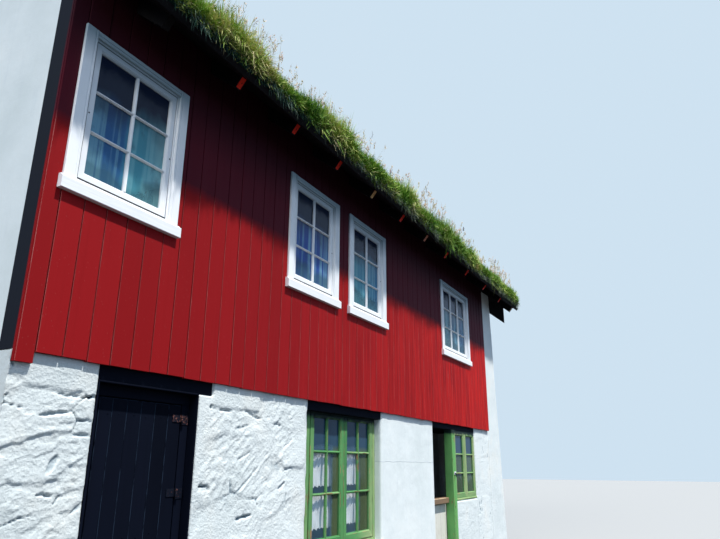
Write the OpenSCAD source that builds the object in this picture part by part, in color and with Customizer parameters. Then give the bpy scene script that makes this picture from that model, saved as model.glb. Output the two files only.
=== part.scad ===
// Turf-roofed row house: a whitewashed rubble cellar storey, a red boarded timber storey,
// a whitewashed stone gable at the right-hand end and a sod roof on rafters and boards.
// X runs along the street front from the party wall, Y runs into the house, Z is up.

/* [House] */
// Width of the house over the boarded faces, front to back
house_w = 5800; // [5400:50:6400]
// Height of all the cellar openings, under the lintels
head_h = 1965; // [1940:5:2100]
// Height of the lintels, which end level with the cellar walls
lintel_h = 95; // [80:5:140]
// Height of the upper storey, from the cellar walls to the wall plates on which the rafters stand
storey_h = 2465; // [2400:5:2700]

/* [Masonry] */
// Thickness of the rubble walls
stone_t = 600; // [500:10:700]
// Distance of the masonry faces behind the backs of the red boards
stone_set = 5; // [4:1:10]
// Thickness of the stone gable at the ground
gable_t = 860; // [780:10:900]
// Thickness of the stone gable at its top, where its outer face has leaned in
gable_top_t = 580; // [500:10:640]
// Thickness of the party wall
party_t = 300; // [250:10:340]

/* [Cellar doorway] */
// Distance of the cellar doorway from the party line
door_x = 560; // [450:5:600]
// Width of the cellar doorway between its stone jambs
door_w = 864; // [840:2:900]
// Thickness of the black boards that line the reveal in front of the door frame
lining_t = 12; // [10:1:14]
// Width of the door frame's posts and head
door_frame_w = 80; // [78:1:90]
// Depth of the door frame
door_frame_d = 100; // [90:5:120]
// Distance of the door leaf and its frame behind the masonry face
leaf_set = 75; // [60:5:90]
// Thickness of the door's boards
leaf_t = 32; // [25:1:36]
// Height of the threshold under the door
threshold_h = 40; // [30:5:60]
// Gap round the door leaves
leaf_gap = 7; // [6:1:9]
// Gap between the cellar door and the stop strips behind it
stop_gap = 8; // [7:1:12]
// Width of the stop strips behind the door leaf
stop_w = 22; // [18:1:30]
// Width of the ledges across the back of the door
ledge_w = 110; // [90:5:130]
// Thickness of the ledges across the back of the door
ledge_t = 26; // [20:1:30]

/* [Hinges] */
// Distance of the cellar door's top hinge below the lintel
hinge_top_down = 175; // [160:1:260]
// Distance of the cellar door's middle hinge below the lintel
hinge_mid_down = 653; // [500:1:760]
// Height of the cellar door's bottom hinge above the ground
hinge_low_z = 360; // [250:5:450]
// Radius of the hinge pins
pin_r = 6; // [5:0.5:7]
// Running clearance of the hinge eyes on their pins
pin_gap = 0.3; // [0.2:0.05:0.5]
// Wall thickness of the hinge eyes
eye_t = 4; // [3:0.5:5]
// Distance of the hinge pins from the face of their door
pin_off = 14; // [12:1:16]
// Distance of the half-door's hinge pins from the jamb beside them
pin_side = 20; // [19:1:24]
// Height of a hinge strap
strap_h = 50; // [40:1:56]
// Length of a hinge strap along its door
strap_l = 80; // [70:1:100]
// Thickness of the hinge straps and plates
strap_t = 4; // [3:0.5:5]
// Reach of the hinge plates on the frame or the jamb, from their pins
plate_l = 66; // [56:1:66]
// Distance from a hinge pin to the plate that lies on the door frame
plate_in = 17; // [16:0.5:20]
// Height of the arms that carry the hinge pins
arm_h = 14; // [10:1:20]

/* [Green window] */
// Width of the rubble pier between the cellar doorway and the green window
rough_pier_w = 1556; // [1510:2:1600]
// Width of the green window's opening
green_w = 1405; // [1370:5:1450]
// Width of the splay that leads from the pier's face back to the green window's frame
splay_w = 140; // [100:5:140]
// Height of the green window's sill above the ground
green_z = 710; // [680:5:760]
// Distance of the green window's frame behind the masonry face
green_set = 84; // [60:2:100]
// Width of the green frame's members
green_frame_w = 62; // [50:1:75]
// Height of the green frame's slim head
green_head = 20; // [16:1:30]
// Depth of the green frame
green_frame_d = 90; // [80:5:120]
// Width of the stiles of the green window's leaves
green_stile = 72; // [60:1:85]
// Height of the top rails of the green window's leaves
green_top_rail = 30; // [26:1:40]
// Width of the joint between the green window's leaves
leaf_joint = 3; // [2:0.5:4]
// Distance from one level bar of the green window to the next
green_row = 380; // [372:2:386]
// Thickness of the green window's leaves
green_leaf_t = 44; // [38:1:50]
// Width of the upright bars in the green window's leaves
green_bar_w = 30; // [26:1:40]
// Width of the level bars in the green window's leaves
green_rail_w = 25; // [18:1:28]
// Columns of panes in each of the green window's leaves
green_cols = 2; // [1:1:3]

/* [Half-door and side window] */
// Width of the smooth pier between the green window and the doorway
smooth_pier_w = 1600; // [1550:2:1650]
// Clear width of the doorway beside the green post
doorway_w = 735; // [715:5:780]
// Width of the green post between the doorway and the side window
post_w = 115; // [104:1:125]
// Depth of the green post
post_d = 120; // [100:5:135]
// Width of the side window's opening
side_w = 940; // [900:5:970]
// Height of the side window's sill above the ground
side_z = 1005; // [960:1:1060]
// Distance of the side window behind the masonry face
side_set = 12; // [8:1:30]
// Width of the side window's bottom rail
side_rail = 100; // [80:5:120]
// Height of the half-door's lower edge above the ground
half_z = 30; // [20:5:50]
// Height of the half-door's boards, without its ledge
half_h = 940; // [900:5:960]
// Thickness of the half-door
half_t = 40; // [34:1:45]
// Height of the brown ledge board on the half-door
shelf_h = 84; // [60:2:100]
// Width by which the ledge board stands in front of the half-door
shelf_out = 60; // [40:5:70]
// Gap between the ledge board's front part and the green post
shelf_gap = 20; // [16:1:30]
// Distance of the half-door's hinges from the lower and upper edge of its boards
half_hinge_in = 160; // [120:5:220]
// Width of the rubble wall between the side window and the stone gable
right_wall_w = 755; // [680:5:900]

/* [Lintels] */
// Length of the lintels that lies on the masonry at each end
lintel_end = 143; // [120:1:150]
// Distance of the lintels behind the masonry face
lintel_set = 12; // [8:1:30]

/* [Upper floor] */
// Width of the floor beams
beam_w = 100; // [80:5:120]
// Height of the floor beams
beam_h = 150; // [130:5:180]
// Distance from one floor beam to the next
beam_gap = 800; // [700:10:900]
// Thickness of the floor boards
floor_t = 30; // [25:1:36]

/* [Timber walls] */
// Thickness of the red boards
board_t = 25; // [20:1:28]
// Thickness of the timber frame with its lining behind the red boards
core_t = 120; // [100:5:150]
// Distance by which the red boards reach down over the cellar walls
board_drop = 30; // [20:2:44]
// Width of the low board at the party line
corner_w = 110; // [90:5:130]
// Distance by which that board reaches lower than the others
corner_drop = 60; // [40:5:80]
// Rise of the front boards' lower edge from the gable to the party line
edge_rise = 25; // [0:5:25]
// Distance of the gable's boards in front of its masonry
gable_gap = 30; // [25:5:50]
// Distance by which the gable's boards reach down over the stone gable
gable_lap = 80; // [60:5:120]

/* [White windows] */
// Height of the white windows over casings and sill
window_h = 1125; // [1100:1:1160]
// Height of the upper windows' sills above the cellar walls
window_up = 932; // [900:1:1050]
// Width of a window with two columns of panes, over its casings
window_w = 915; // [890:5:940]
// Width of the right-hand window with three columns of panes
wide_w = 1275; // [1240:5:1310]
// Middle of the first window from the party line
window_1 = 553; // [545:1:575]
// Middle of the second window
window_2 = 2853; // [2800:1:2900]
// Middle of the third window
window_3 = 3998; // [3950:1:4060]
// Distance of the wide window's middle from the stone gable's inner face
window_4_in = 1522; // [1450:1:1600]
// Middle of the first of the three windows at the back
back_1 = 1500; // [1400:50:1700]
// Distance between the windows at the back
back_gap = 2750; // [2500:50:2900]
// Height of the attic window's sill above the wall plates
attic_up = 640; // [600:10:700]
// Width of the casing boards beside a window
casing_w = 88; // [80:1:95]
// Height of the casing board over a window
head_casing_w = 50; // [46:1:60]
// Thickness of the casing boards
casing_t = 18; // [15:1:22]
// Thickness of the window frames
frame_t = 30; // [26:1:34]
// Width by which the casings cover the frames
casing_lap = 18; // [14:1:22]
// Width of the sash stiles and rails
stile_w = 50; // [44:1:56]
// Thickness of the sashes
sash_t = 40; // [34:1:45]
// Distance of the sashes behind the boarded face
sash_set = 6; // [4:1:10]
// Width of the groove round the sashes
sash_gap = 4; // [3:0.5:5]
// Depth of the groove round the sashes
groove_d = 12; // [8:1:16]
// Width of the upright bars
bar_w = 26; // [20:1:30]
// Width of the level bars
rail_w = 18; // [15:1:24]
// Depth of the bars in front of the glass
bar_d = 22; // [16:1:26]
// Thickness of the glass
glass_t = 4; // [3:1:6]
// Height of the white sill boards
sill_h = 87; // [75:1:92]
// Distance by which the sill boards stand out from the boarded face
sill_out = 36; // [32:1:48]
// Length by which the sill boards reach past the casings
sill_end = 20; // [12:1:30]
// Fall of the sill boards' top
sill_fall = 12; // [8:1:16]
// Rows of panes in every window
pane_rows = 3; // [2:1:4]

/* [Roof] */
// Pitch of the roof in degrees
pitch = 39; // [36:1:42]
// Width of the rafters
rafter_w = 60; // [50:2:70]
// Depth of the rafters
rafter_h = 100; // [90:2:120]
// Depth of the notches by which the rafters stand on the plates
notch_h = 40; // [30:2:50]
// Distance of the rafter ends in front of the boarded face
tail_out = 320; // [280:5:340]
// Distance of the first ceiling beam from the party wall
rafter_clear = 95; // [60:5:120]
// Distance from rafter to rafter over the left part of the house
rafter_gap = 770; // [750:5:785]
// Number of rafters over the left part of the house
rafter_n = 8; // [7:1:8]
// Distance of the last rafter's middle beyond the stone gable's inner face
last_rafter = 126; // [100:2:150]
// Number of wider rafter bays over the right part of the house
wide_bays = 3; // [2:1:3]
// Thickness of the ridge board
ridge_t = 36; // [30:2:44]
// Height of the ridge board
ridge_h = 190; // [170:5:220]
// Width of the ceiling beams
tie_w = 60; // [50:2:70]
// Height of the ceiling beams
tie_h = 120; // [100:5:125]
// Thickness of the attic floor boards
attic_floor_t = 25; // [20:1:30]
// Thickness of the roof boards
deck_t = 30; // [24:1:36]
// Distance of the roof boards' edge in front of the boarded face
deck_out = 365; // [350:5:400]
// Distance of the roof's edge beyond the top of the stone gable
verge = 420; // [380:5:460]
// Distance of the verge boards, where the turf ends, from the ends of the roof boards
verge_in = 130; // [100:5:160]
// Thickness of the eave, verge and barge boards
edge_t = 28; // [22:1:32]
// Height of the eave boards, square to the roof
eave_h = 45; // [40:1:60]
// Height of the boards that hold the turf at the verge, above the roof boards
verge_h = 110; // [90:5:130]
// Depth of the barge boards, square to the roof
barge_h = 330; // [280:5:360]
// Distance of the barge boards' lower ends in front of the boarded face
barge_out = 135; // [110:5:160]
// Half the width of the open joint between the boards that meet over the ridge
ridge_joint = 1; // [0.5:0.5:3]
// Fitting gap between the slanting pieces of the roof
roof_fit = 0.2; // [0.1:0.05:0.5]
// Thickness of the turf
turf_t = 130; // [120:5:150]
// Distance by which the turf reaches out over the eave boards
turf_lip = 20; // [10:2:26]
// Radius of the rounded turf ridge
ridge_r = 420; // [300:20:500]

/* [Hidden] */

red = "firebrick";
white = "whitesmoke";
black = "darkslategray";
green = "yellowgreen";
stone_white = "gainsboro";
bare_wood = "burlywood";
rust = "sienna";
turf_green = "olivedrab";
glass_blue = "steelblue";

$fn = 40;
eps = 1;

// Heights above the ground
cellar_h = head_h + lintel_h;
plate_z = cellar_h + storey_h;
board_z = cellar_h - board_drop;
window_z = cellar_h + window_up;

// Places along the front, from the party line
rough_x = door_x + door_w;
green_x = rough_x + rough_pier_w;
smooth_x = green_x + green_w;
doorway_x = smooth_x + smooth_pier_w;
post_x = doorway_x + doorway_w;
side_x = post_x + post_w;
right_x = side_x + side_w;
gable_x = right_x + right_wall_w;
gable_foot_x = gable_x + gable_t;
gable_top_x = gable_x + gable_top_t;
total_l = gable_top_x + verge;

// Places across the house, from the front face
front_y = -house_w / 2;
core_y = front_y + board_t;
stone_y = core_y + stone_set;
room_y = core_y + core_t;
stone_in_y = stone_y + stone_t;

// Roof lines: the rafters' underside and the roof boards' underside at a distance y from the ridge
slope = tan(pitch);
function under_rafter(y) = plate_z - notch_h + (-core_y - abs(y)) * slope;
function under_deck(y) = under_rafter(y) + rafter_h / cos(pitch);
// Top of what is fitted under the roof boards
function fitted(y) = under_deck(y) - roof_fit / cos(pitch);

// A point of the front roof slope: s runs up the slope from the boarded face, t is square to it
function on_roof(s, t) = [
    front_y + s * cos(pitch) - t * sin(pitch),
    under_deck(front_y) + s * sin(pitch) + t * cos(pitch)
];
// The place on the slope where the line at height t meets the ridge's middle plane
function ridge_s(t) = (-front_y + t * sin(pitch)) / cos(pitch);
// The point of the line at height t that lies half an open joint from that plane
function beside_ridge(t) = on_roof(ridge_s(t) - ridge_joint / cos(pitch), t);

// Puts a shape drawn from the party line into the part's own frame
module in_place() {
    translate([-total_l / 2, 0, 0])
        children();
}

// A block given by its low and high corners
module block(low, high) {
    translate(low)
        cube(high - low);
}

// A profile in Y and Z, drawn out along X
module along_x(x_low, x_high, points) {
    translate([x_low, 0, 0])
        rotate([90, 0, 90])
            linear_extrude(x_high - x_low)
                polygon(points);
}

// A profile in X and Z, drawn out along Y
module along_y(y_low, y_high) {
    translate([0, y_high, 0])
        rotate([90, 0, 0])
            linear_extrude(y_high - y_low)
                children();
}

// The same board on both sides of the ridge, with an open joint where they meet
module both_sides() {
    children();
    mirror([0, 1, 0])
        children();
}

// Masonry of the cellar front between two places, up to a height
module front_masonry(x_low, x_high, top) {
    block([x_low, stone_y, 0], [x_high, stone_in_y, top]);
}

// Space of a lintel over an opening, with its ends on the masonry
module lintel_space(x_low, x_high) {
    block([x_low - lintel_end, stone_y + lintel_set, head_h],
        [x_high + lintel_end, stone_in_y, cellar_h]);
}

module cellar_wall_left() {
    color(stone_white) in_place() difference() {
        front_masonry(0, door_x, cellar_h);
        lintel_space(door_x, rough_x);
    }
}

// Space in front of the pier's splayed jamb, above the green window's sill
module splay_space() {
    translate([0, 0, green_z])
        linear_extrude(head_h - green_z)
            polygon([
                [green_x - splay_w, stone_y], [green_x, green_y], [green_x + eps, green_y],
                [green_x + eps, stone_y - eps], [green_x - splay_w, stone_y - eps]
            ]);
}

module rough_pier() {
    color(stone_white) in_place() difference() {
        front_masonry(rough_x, green_x, cellar_h);
        lintel_space(door_x, rough_x);
        lintel_space(green_x, smooth_x);
        splay_space();
    }
}

module wall_under_green_window() {
    color(stone_white) in_place()
        front_masonry(green_x, smooth_x, green_z);
}

module smooth_pier() {
    color(white) in_place() difference() {
        front_masonry(smooth_x, doorway_x, cellar_h);
        lintel_space(green_x, smooth_x);
        lintel_space(doorway_x, right_x);
    }
}

module wall_under_side_window() {
    color(stone_white) in_place()
        front_masonry(side_x, right_x, side_z);
}

module cellar_wall_right() {
    color(stone_white) in_place() difference() {
        front_masonry(right_x, gable_x, cellar_h);
        lintel_space(doorway_x, right_x);
    }
}

module cellar_back_wall() {
    color(stone_white) in_place()
        block([0, -stone_in_y, 0], [gable_x, -stone_y, cellar_h]);
}

module stone_gable() {
    color(stone_white) in_place() along_y(stone_y, -stone_y)
        polygon([
            [gable_x, 0], [gable_foot_x, 0], [gable_top_x, plate_z], [gable_x, plate_z]
        ]);
}

module party_wall() {
    color(white) in_place() along_x(0, party_t, [
        [stone_in_y, 0], [-stone_in_y, 0], [-stone_in_y, cellar_h], [-room_y, cellar_h],
        [-room_y, fitted(room_y)], [0, fitted(0)], [room_y, fitted(room_y)],
        [room_y, cellar_h], [stone_in_y, cellar_h]
    ]);
}

module door_lintel() {
    color(black) in_place()
        lintel_space(door_x, rough_x);
}

module green_window_lintel() {
    color(black) in_place()
        lintel_space(green_x, smooth_x);
}

module doorway_lintel() {
    color(black) in_place()
        lintel_space(doorway_x, right_x);
}

// Floor beams lie on the cellar walls between the timber walls
module floor_beams() {
    room_l = gable_x - party_t;
    bays = round(room_l / beam_gap);
    color(bare_wood) in_place()
        for (i = [0 : bays]) {
            x = party_t + i * (room_l - beam_w) / bays;
            block([x, room_y, cellar_h], [x + beam_w, -room_y, cellar_h + beam_h]);
        }
}

module upper_floor() {
    z = cellar_h + beam_h;
    color(bare_wood) in_place()
        block([party_t, room_y, z], [gable_x, -room_y, z + floor_t]);
}

// Upper windows of the front: middle, width and columns of panes
front_windows = [
    [window_1, window_w, 2],
    [window_2, window_w, 2],
    [window_3, window_w, 2],
    [gable_x - window_4_in, wide_w, 3]
];
back_windows_x = [for (i = [0 : 2]) back_1 + i * back_gap];

// Size of the hole in a wall for a window that measures w over its casings
function hole_w(w) = w - 2 * casing_w + 2 * casing_lap;
hole_low = sill_h - sill_fall;
hole_high = window_h - head_casing_w + casing_lap;

module window_hole(w) {
    translate([-hole_w(w) / 2, hole_low])
        square([hole_w(w), hole_high - hole_low]);
}

module front_window_holes() {
    for (window = front_windows)
        translate([window[0], window_z])
            window_hole(window[1]);
}

module back_window_holes() {
    for (x = back_windows_x)
        translate([x, window_z])
            window_hole(window_w);
}

module timber_wall() {
    translate([0, cellar_h])
        square([gable_x, plate_z - cellar_h]);
}

module front_timber_wall() {
    color(bare_wood) in_place() along_y(core_y, room_y) difference() {
        timber_wall();
        front_window_holes();
    }
}

module back_timber_wall() {
    color(bare_wood) in_place() along_y(-room_y, -core_y) difference() {
        timber_wall();
        back_window_holes();
    }
}

// Middle of each rafter along the house: a ceiling beam lies on the left of each
rafter_x = party_t + rafter_clear + tie_w + rafter_w / 2;
wide_gap = (gable_x + last_rafter - rafter_x - (rafter_n - 1) * rafter_gap) / wide_bays;
rafter_places = concat(
    [for (i = [0 : rafter_n - 1]) rafter_x + i * rafter_gap],
    [for (i = [1 : wide_bays]) rafter_x + (rafter_n - 1) * rafter_gap + i * wide_gap]
);
fly_rafter = total_l - edge_t - rafter_w / 2;
// Right-hand end of the turf, at the verge boards
turf_end = total_l - edge_t - verge_in;

// The red boards reach up to the roof boards and are notched round the rafters
module boarding(x_low, rise) {
    top_z = under_deck(front_y);
    difference() {
        polygon([[x_low, board_z + rise], [gable_x, board_z], [gable_x, top_z], [x_low, top_z]]);
        for (x = rafter_places)
            translate([x - rafter_w / 2, under_rafter(front_y)])
                square([rafter_w, rafter_h / cos(pitch) + eps]);
    }
}

module front_boards() {
    color(red) in_place() along_y(front_y, core_y) difference() {
        boarding(corner_w, edge_rise);
        front_window_holes();
    }
}

module low_corner_board() {
    color(red) in_place()
        block([0, front_y, board_z + edge_rise - corner_drop], [corner_w, core_y, under_deck(front_y)]);
}

module back_boards() {
    color(red) in_place() along_y(-core_y, -front_y) difference() {
        boarding(0, 0);
        back_window_holes();
    }
}

// Attic window: in the middle of the gable's triangle
attic_z = plate_z + attic_up;
gable_board_x = gable_top_x + gable_gap;
gable_back_x = gable_board_x - core_t;
gable_face_x = gable_board_x + board_t;

module attic_hole(x_low, x_high) {
    w = hole_w(window_w);
    block([x_low - eps, -w / 2, attic_z + hole_low], [x_high + eps, w / 2, attic_z + hole_high]);
}

module gable_frame() {
    color(bare_wood) in_place() difference() {
        along_x(gable_back_x, gable_board_x, [
            [core_y, plate_z], [-core_y, plate_z], [-core_y, fitted(core_y)],
            [0, fitted(0)], [core_y, fitted(core_y)]
        ]);
        attic_hole(gable_back_x, gable_board_x);
    }
}

module gable_boards() {
    low = plate_z - gable_lap;
    color(red) in_place() difference() {
        along_x(gable_board_x, gable_face_x, [
            [front_y, low], [-front_y, low], [-front_y, fitted(front_y)],
            [0, fitted(0)], [front_y, fitted(front_y)]
        ]);
        attic_hole(gable_board_x, gable_face_x);
    }
}

// A white window seen from outside: X is its width, Y runs inwards from the boarded face,
// and Z starts at the bottom of its sill
module white_window(w, cols) {
    frame_w = hole_w(w);
    sash_w = frame_w - 2 * frame_t;
    sash_low = hole_low + frame_t;
    sash_h = hole_high - hole_low - 2 * frame_t;
    difference() {
        union() {
            window_casing(w);
            window_frame(frame_w);
            translate([-sash_w / 2, sash_set, sash_low])
                sash(sash_w, sash_h, cols);
            window_sill(w);
        }
        translate([-sash_w / 2, sash_set - eps, sash_low])
            sash_groove(sash_w, sash_h);
    }
}

module window_casing(w) {
    opening = w - 2 * casing_w;
    along_y(-casing_t, 0) difference() {
        translate([-w / 2, sill_h - sill_fall])
            square([w, window_h - sill_h + sill_fall]);
        translate([-opening / 2, 0])
            square([opening, window_h - head_casing_w]);
    }
}

module window_frame(frame_w) {
    inner = frame_w - 2 * frame_t;
    along_y(0, board_t + core_t) difference() {
        translate([-frame_w / 2, hole_low])
            square([frame_w, hole_high - hole_low]);
        translate([-inner / 2, hole_low + frame_t])
            square([inner, hole_high - hole_low - 2 * frame_t]);
    }
}

// A glazed leaf: stiles, rails and bars, with the glass left out
module glazed_leaf(w, h, stile, low_rail, top_rail, upright, level, cols, row_h, depth, bars_d) {
    glass_w = w - 2 * stile;
    glass_h = h - top_rail - low_rail;
    along_y(0, depth) difference() {
        square([w, h]);
        translate([stile, low_rail])
            square([glass_w, glass_h]);
    }
    along_y(0, bars_d) {
        for (i = [1 : 1 : cols - 1])
            translate([stile + i * glass_w / cols - upright / 2, low_rail])
                square([upright, glass_h]);
        for (i = [1 : 1 : pane_rows - 1])
            translate([stile, low_rail + i * row_h - level / 2])
                square([glass_w, level]);
    }
}

module sash(w, h, cols) {
    row_h = (h - 2 * stile_w) / pane_rows;
    glazed_leaf(w, h, stile_w, stile_w, stile_w, bar_w, rail_w, cols, row_h, sash_t, bar_d);
}

// Groove between a sash and its frame
module sash_groove(w, h) {
    along_y(0, groove_d + eps) difference() {
        square([w, h]);
        translate([sash_gap, sash_gap])
            square([w - 2 * sash_gap, h - 2 * sash_gap]);
    }
}

module window_sill(w) {
    length = w + 2 * sill_end;
    along_x(-length / 2, length / 2, [
        [0, 0], [0, sill_h], [-casing_t, sill_h], [-(casing_t + sill_out) / 2, sill_h - sill_fall / 2],
        [-sill_out, sill_h - sill_fall], [-sill_out, 0]
    ]);
}

module sash_glass(w) {
    sash_w = hole_w(w) - 2 * frame_t;
    sash_low = hole_low + frame_t;
    sash_h = hole_high - hole_low - 2 * frame_t;
    y = sash_set + bar_d;
    block([-sash_w / 2 + stile_w, y, sash_low + stile_w],
        [sash_w / 2 - stile_w, y + glass_t, sash_low + sash_h - stile_w]);
}

module at_front(x) {
    in_place()
        translate([x, front_y, window_z])
            children();
}

module at_back(x) {
    in_place()
        translate([x, -front_y, window_z])
            rotate([0, 0, 180])
                children();
}

module at_attic() {
    in_place()
        translate([gable_face_x, 0, attic_z])
            rotate([0, 0, 90])
                children();
}

module front_window(i) {
    window = front_windows[i];
    color(white) at_front(window[0])
        white_window(window[1], window[2]);
}

module back_windows() {
    color(white)
        for (x = back_windows_x)
            at_back(x)
                white_window(window_w, 2);
}

module attic_window() {
    color(white) at_attic()
        white_window(window_w, 2);
}

module upper_glass() {
    color(glass_blue) {
        for (window = front_windows)
            at_front(window[0])
                sash_glass(window[1]);
        for (x = back_windows_x)
            at_back(x)
                sash_glass(window_w);
        at_attic()
            sash_glass(window_w);
    }
}

// The green window: an outer frame and two glazed leaves that meet in the middle
green_y = stone_y + green_set;
green_h = head_h - green_z;
green_leaf_w = (green_w - 2 * green_frame_w - leaf_joint) / 2;
green_leaf_h = green_h - green_frame_w - green_head;
function green_leaf_x(i) = green_x + green_frame_w + i * (green_leaf_w + leaf_joint);

module green_window_frame() {
    color(green) in_place() translate([green_x, green_y, green_z])
        along_y(0, green_frame_d) difference() {
            square([green_w, green_h]);
            translate([green_frame_w, green_frame_w])
                square([green_w - 2 * green_frame_w, green_leaf_h]);
        }
}

module green_window_leaves() {
    color(green) in_place()
        for (i = [0, 1])
            translate([green_leaf_x(i), green_y, green_z + green_frame_w])
                glazed_leaf(green_leaf_w, green_leaf_h, green_stile, green_stile, green_top_rail,
                    green_bar_w, green_rail_w, green_cols, green_row, green_leaf_t, bar_d);
}

module green_post() {
    color(green) in_place()
        block([post_x, stone_y, 0], [side_x, stone_y + post_d, head_h]);
}

// The side window: two narrow leaves side by side, each with one column of panes
side_y = stone_y + side_set;
side_h = head_h - side_z;
side_leaf_w = side_w / 2;
side_row = (side_h - side_rail - green_stile) / pane_rows;

module side_window() {
    color(green) in_place()
        for (i = [0, 1])
            translate([side_x + i * side_leaf_w, side_y, side_z])
                glazed_leaf(side_leaf_w, side_h, green_stile, side_rail, green_stile,
                    green_bar_w, green_rail_w, 1, side_row, green_frame_d, bar_d);
}

module cellar_glass() {
    pane_low = green_z + green_frame_w + green_stile;
    pane_w = green_leaf_w - 2 * green_stile;
    side_pane_w = side_leaf_w - 2 * green_stile;
    color(glass_blue) in_place()
        for (i = [0, 1]) {
            x = green_leaf_x(i) + green_stile;
            block([x, green_y + bar_d, pane_low],
                [x + pane_w, green_y + bar_d + glass_t, head_h - green_head - green_top_rail]);
            side_pane = side_x + i * side_leaf_w + green_stile;
            block([side_pane, side_y + bar_d, side_z + side_rail],
                [side_pane + side_pane_w, side_y + bar_d + glass_t, head_h - green_stile]);
        }
}

// The cellar door: black boards flush with their frame in a lined reveal, hinged on the right
leaf_y = stone_y + leaf_set;
frame_back_y = leaf_y + door_frame_d;
leaf_low_x = door_x + door_frame_w + leaf_gap;
leaf_high_x = rough_x - door_frame_w - leaf_gap;
leaf_top = head_h - door_frame_w - leaf_gap;

// The doorway's outline above a level, made smaller by a width at its sides and top
module inside_doorway(width, low) {
    translate([door_x + width, low])
        square([door_w - 2 * width, head_h - width - low]);
}

module door_lining() {
    stop_y = leaf_y + leaf_t + stop_gap;
    color(black) in_place() {
        along_y(stone_y, leaf_y) difference() {
            translate([door_x, 0])
                square([door_w, head_h]);
            inside_doorway(lining_t, threshold_h);
        }
        along_y(leaf_y, frame_back_y) difference() {
            translate([door_x, 0])
                square([door_w, head_h]);
            inside_doorway(door_frame_w, threshold_h);
        }
        along_y(stop_y, frame_back_y) difference() {
            inside_doorway(door_frame_w, threshold_h);
            inside_doorway(door_frame_w + stop_w, threshold_h + stop_w);
        }
    }
}

// Heights of the cellar door's hinges, the bottom one first
door_hinges = [hinge_low_z, head_h - hinge_mid_down, head_h - hinge_top_down];

module cellar_door() {
    low_z = threshold_h + leaf_gap;
    ledge_low = leaf_low_x + stop_w + leaf_gap;
    ledge_high = leaf_high_x - stop_w - leaf_gap;
    ledges = [door_hinges[0], (door_hinges[0] + door_hinges[2]) / 2, door_hinges[2]];
    color(black) in_place() {
        block([leaf_low_x, leaf_y, low_z], [leaf_high_x, leaf_y + leaf_t, leaf_top]);
        for (z = ledges)
            block([ledge_low, leaf_y + leaf_t, z - ledge_w / 2],
                [ledge_high, leaf_y + leaf_t + ledge_t, z + ledge_w / 2]);
    }
}

// A hinge round a pin at the origin: the door lies towards -X with its face at Y = pin_off
module strap() {
    eye_r = pin_r + pin_gap + eye_t;
    difference() {
        union() {
            cylinder(r = eye_r, h = strap_h, center = true);
            block([-eye_r, pin_off - strap_t, -strap_h / 2], [0, pin_off, strap_h / 2]);
            block([-strap_l, pin_off - strap_t, -strap_h / 2], [-eye_r, pin_off, strap_h / 2]);
            block([-eye_r, 0, -strap_h / 2], [-eye_r + strap_t, pin_off, strap_h / 2]);
        }
        cylinder(r = pin_r + pin_gap, h = strap_h + 2 * eps, center = true);
    }
}

// Top of the arm that carries a pin, below its eye
arm_top = -strap_h / 2 - eps / 2;

module pin_on_arm(reach) {
    translate([0, 0, arm_top - arm_h])
        cylinder(r = pin_r, h = arm_h + strap_h + eps);
    block([0, -pin_r, arm_top - arm_h], [reach, pin_r, arm_top]);
}

// The pintle of such a hinge with its plate on the jamb, whose face is at X = pin_side
module jamb_pintle() {
    pin_on_arm(pin_side - strap_t);
    block([pin_side - strap_t, -plate_l, arm_top - arm_h], [pin_side, pin_r, strap_h / 2]);
}

// The pintle with its plate flat on the frame, whose face is at Y = pin_off
module flat_pintle() {
    pin_on_arm(plate_in + strap_t);
    block([plate_in, pin_r - strap_t, arm_top - arm_h], [plate_in + strap_t, pin_off, arm_top]);
    block([plate_in, pin_off - strap_t, arm_top - arm_h], [plate_l, pin_off, strap_h / 2]);
}

door_pin = [rough_x - door_frame_w - leaf_gap / 2, leaf_y - pin_off];

module at_door_hinges() {
    in_place()
        for (z = door_hinges)
            translate([door_pin[0], door_pin[1], z])
                children();
}

module door_straps() {
    color(rust) at_door_hinges()
        strap();
}

module door_pintles() {
    color(rust) at_door_hinges()
        flat_pintle();
}

// The half-door closes against the back of the green post and swings into the room
half_y = stone_y + post_d + leaf_gap;
half_low_x = doorway_x + leaf_gap;
half_high_x = side_x - leaf_gap;
half_top = half_z + half_h;

module half_door() {
    color(white) in_place()
        block([half_low_x, half_y, half_z], [half_high_x, half_y + half_t, half_top]);
}

module half_door_ledge() {
    color("saddlebrown") in_place() {
        block([half_low_x, half_y - shelf_out, half_top],
            [post_x - shelf_gap, half_y + half_t, half_top + shelf_h]);
        block([post_x - shelf_gap, half_y, half_top],
            [half_high_x, half_y + half_t, half_top + shelf_h]);
    }
}

half_pin = [doorway_x + pin_side, half_y + half_t + pin_off];

// The half-door's hinges are those of the cellar door turned about, on the inside
module at_half_hinges() {
    in_place()
        for (z = [half_z + half_hinge_in, half_top - half_hinge_in])
            translate([half_pin[0], half_pin[1], z])
                rotate([0, 0, 180])
                    children();
}

module half_door_straps() {
    color(rust) at_half_hinges()
        strap();
}

module half_door_pintles() {
    color(rust) at_half_hinges()
        jamb_pintle();
}

// Ceiling beams lie beside the rafters, from plate to plate
tie_y = core_y + (tie_h - (under_deck(core_y) - plate_z)) / slope + eps;

module ceiling_beams() {
    color(bare_wood) in_place()
        for (x = rafter_places) {
            low = x - rafter_w / 2 - tie_w;
            block([low, tie_y, plate_z], [low + tie_w, -tie_y, plate_z + tie_h]);
        }
}

// The attic floor lies on the ceiling beams and reaches out to the rafters' underside
attic_floor_z = plate_z + tie_h;
attic_floor_y = core_y + (attic_floor_z + attic_floor_t - plate_z + notch_h) / slope;

module attic_floor() {
    color(bare_wood) in_place()
        block([party_t, attic_floor_y, attic_floor_z],
            [gable_back_x, -attic_floor_y, attic_floor_z + attic_floor_t]);
}

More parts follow.
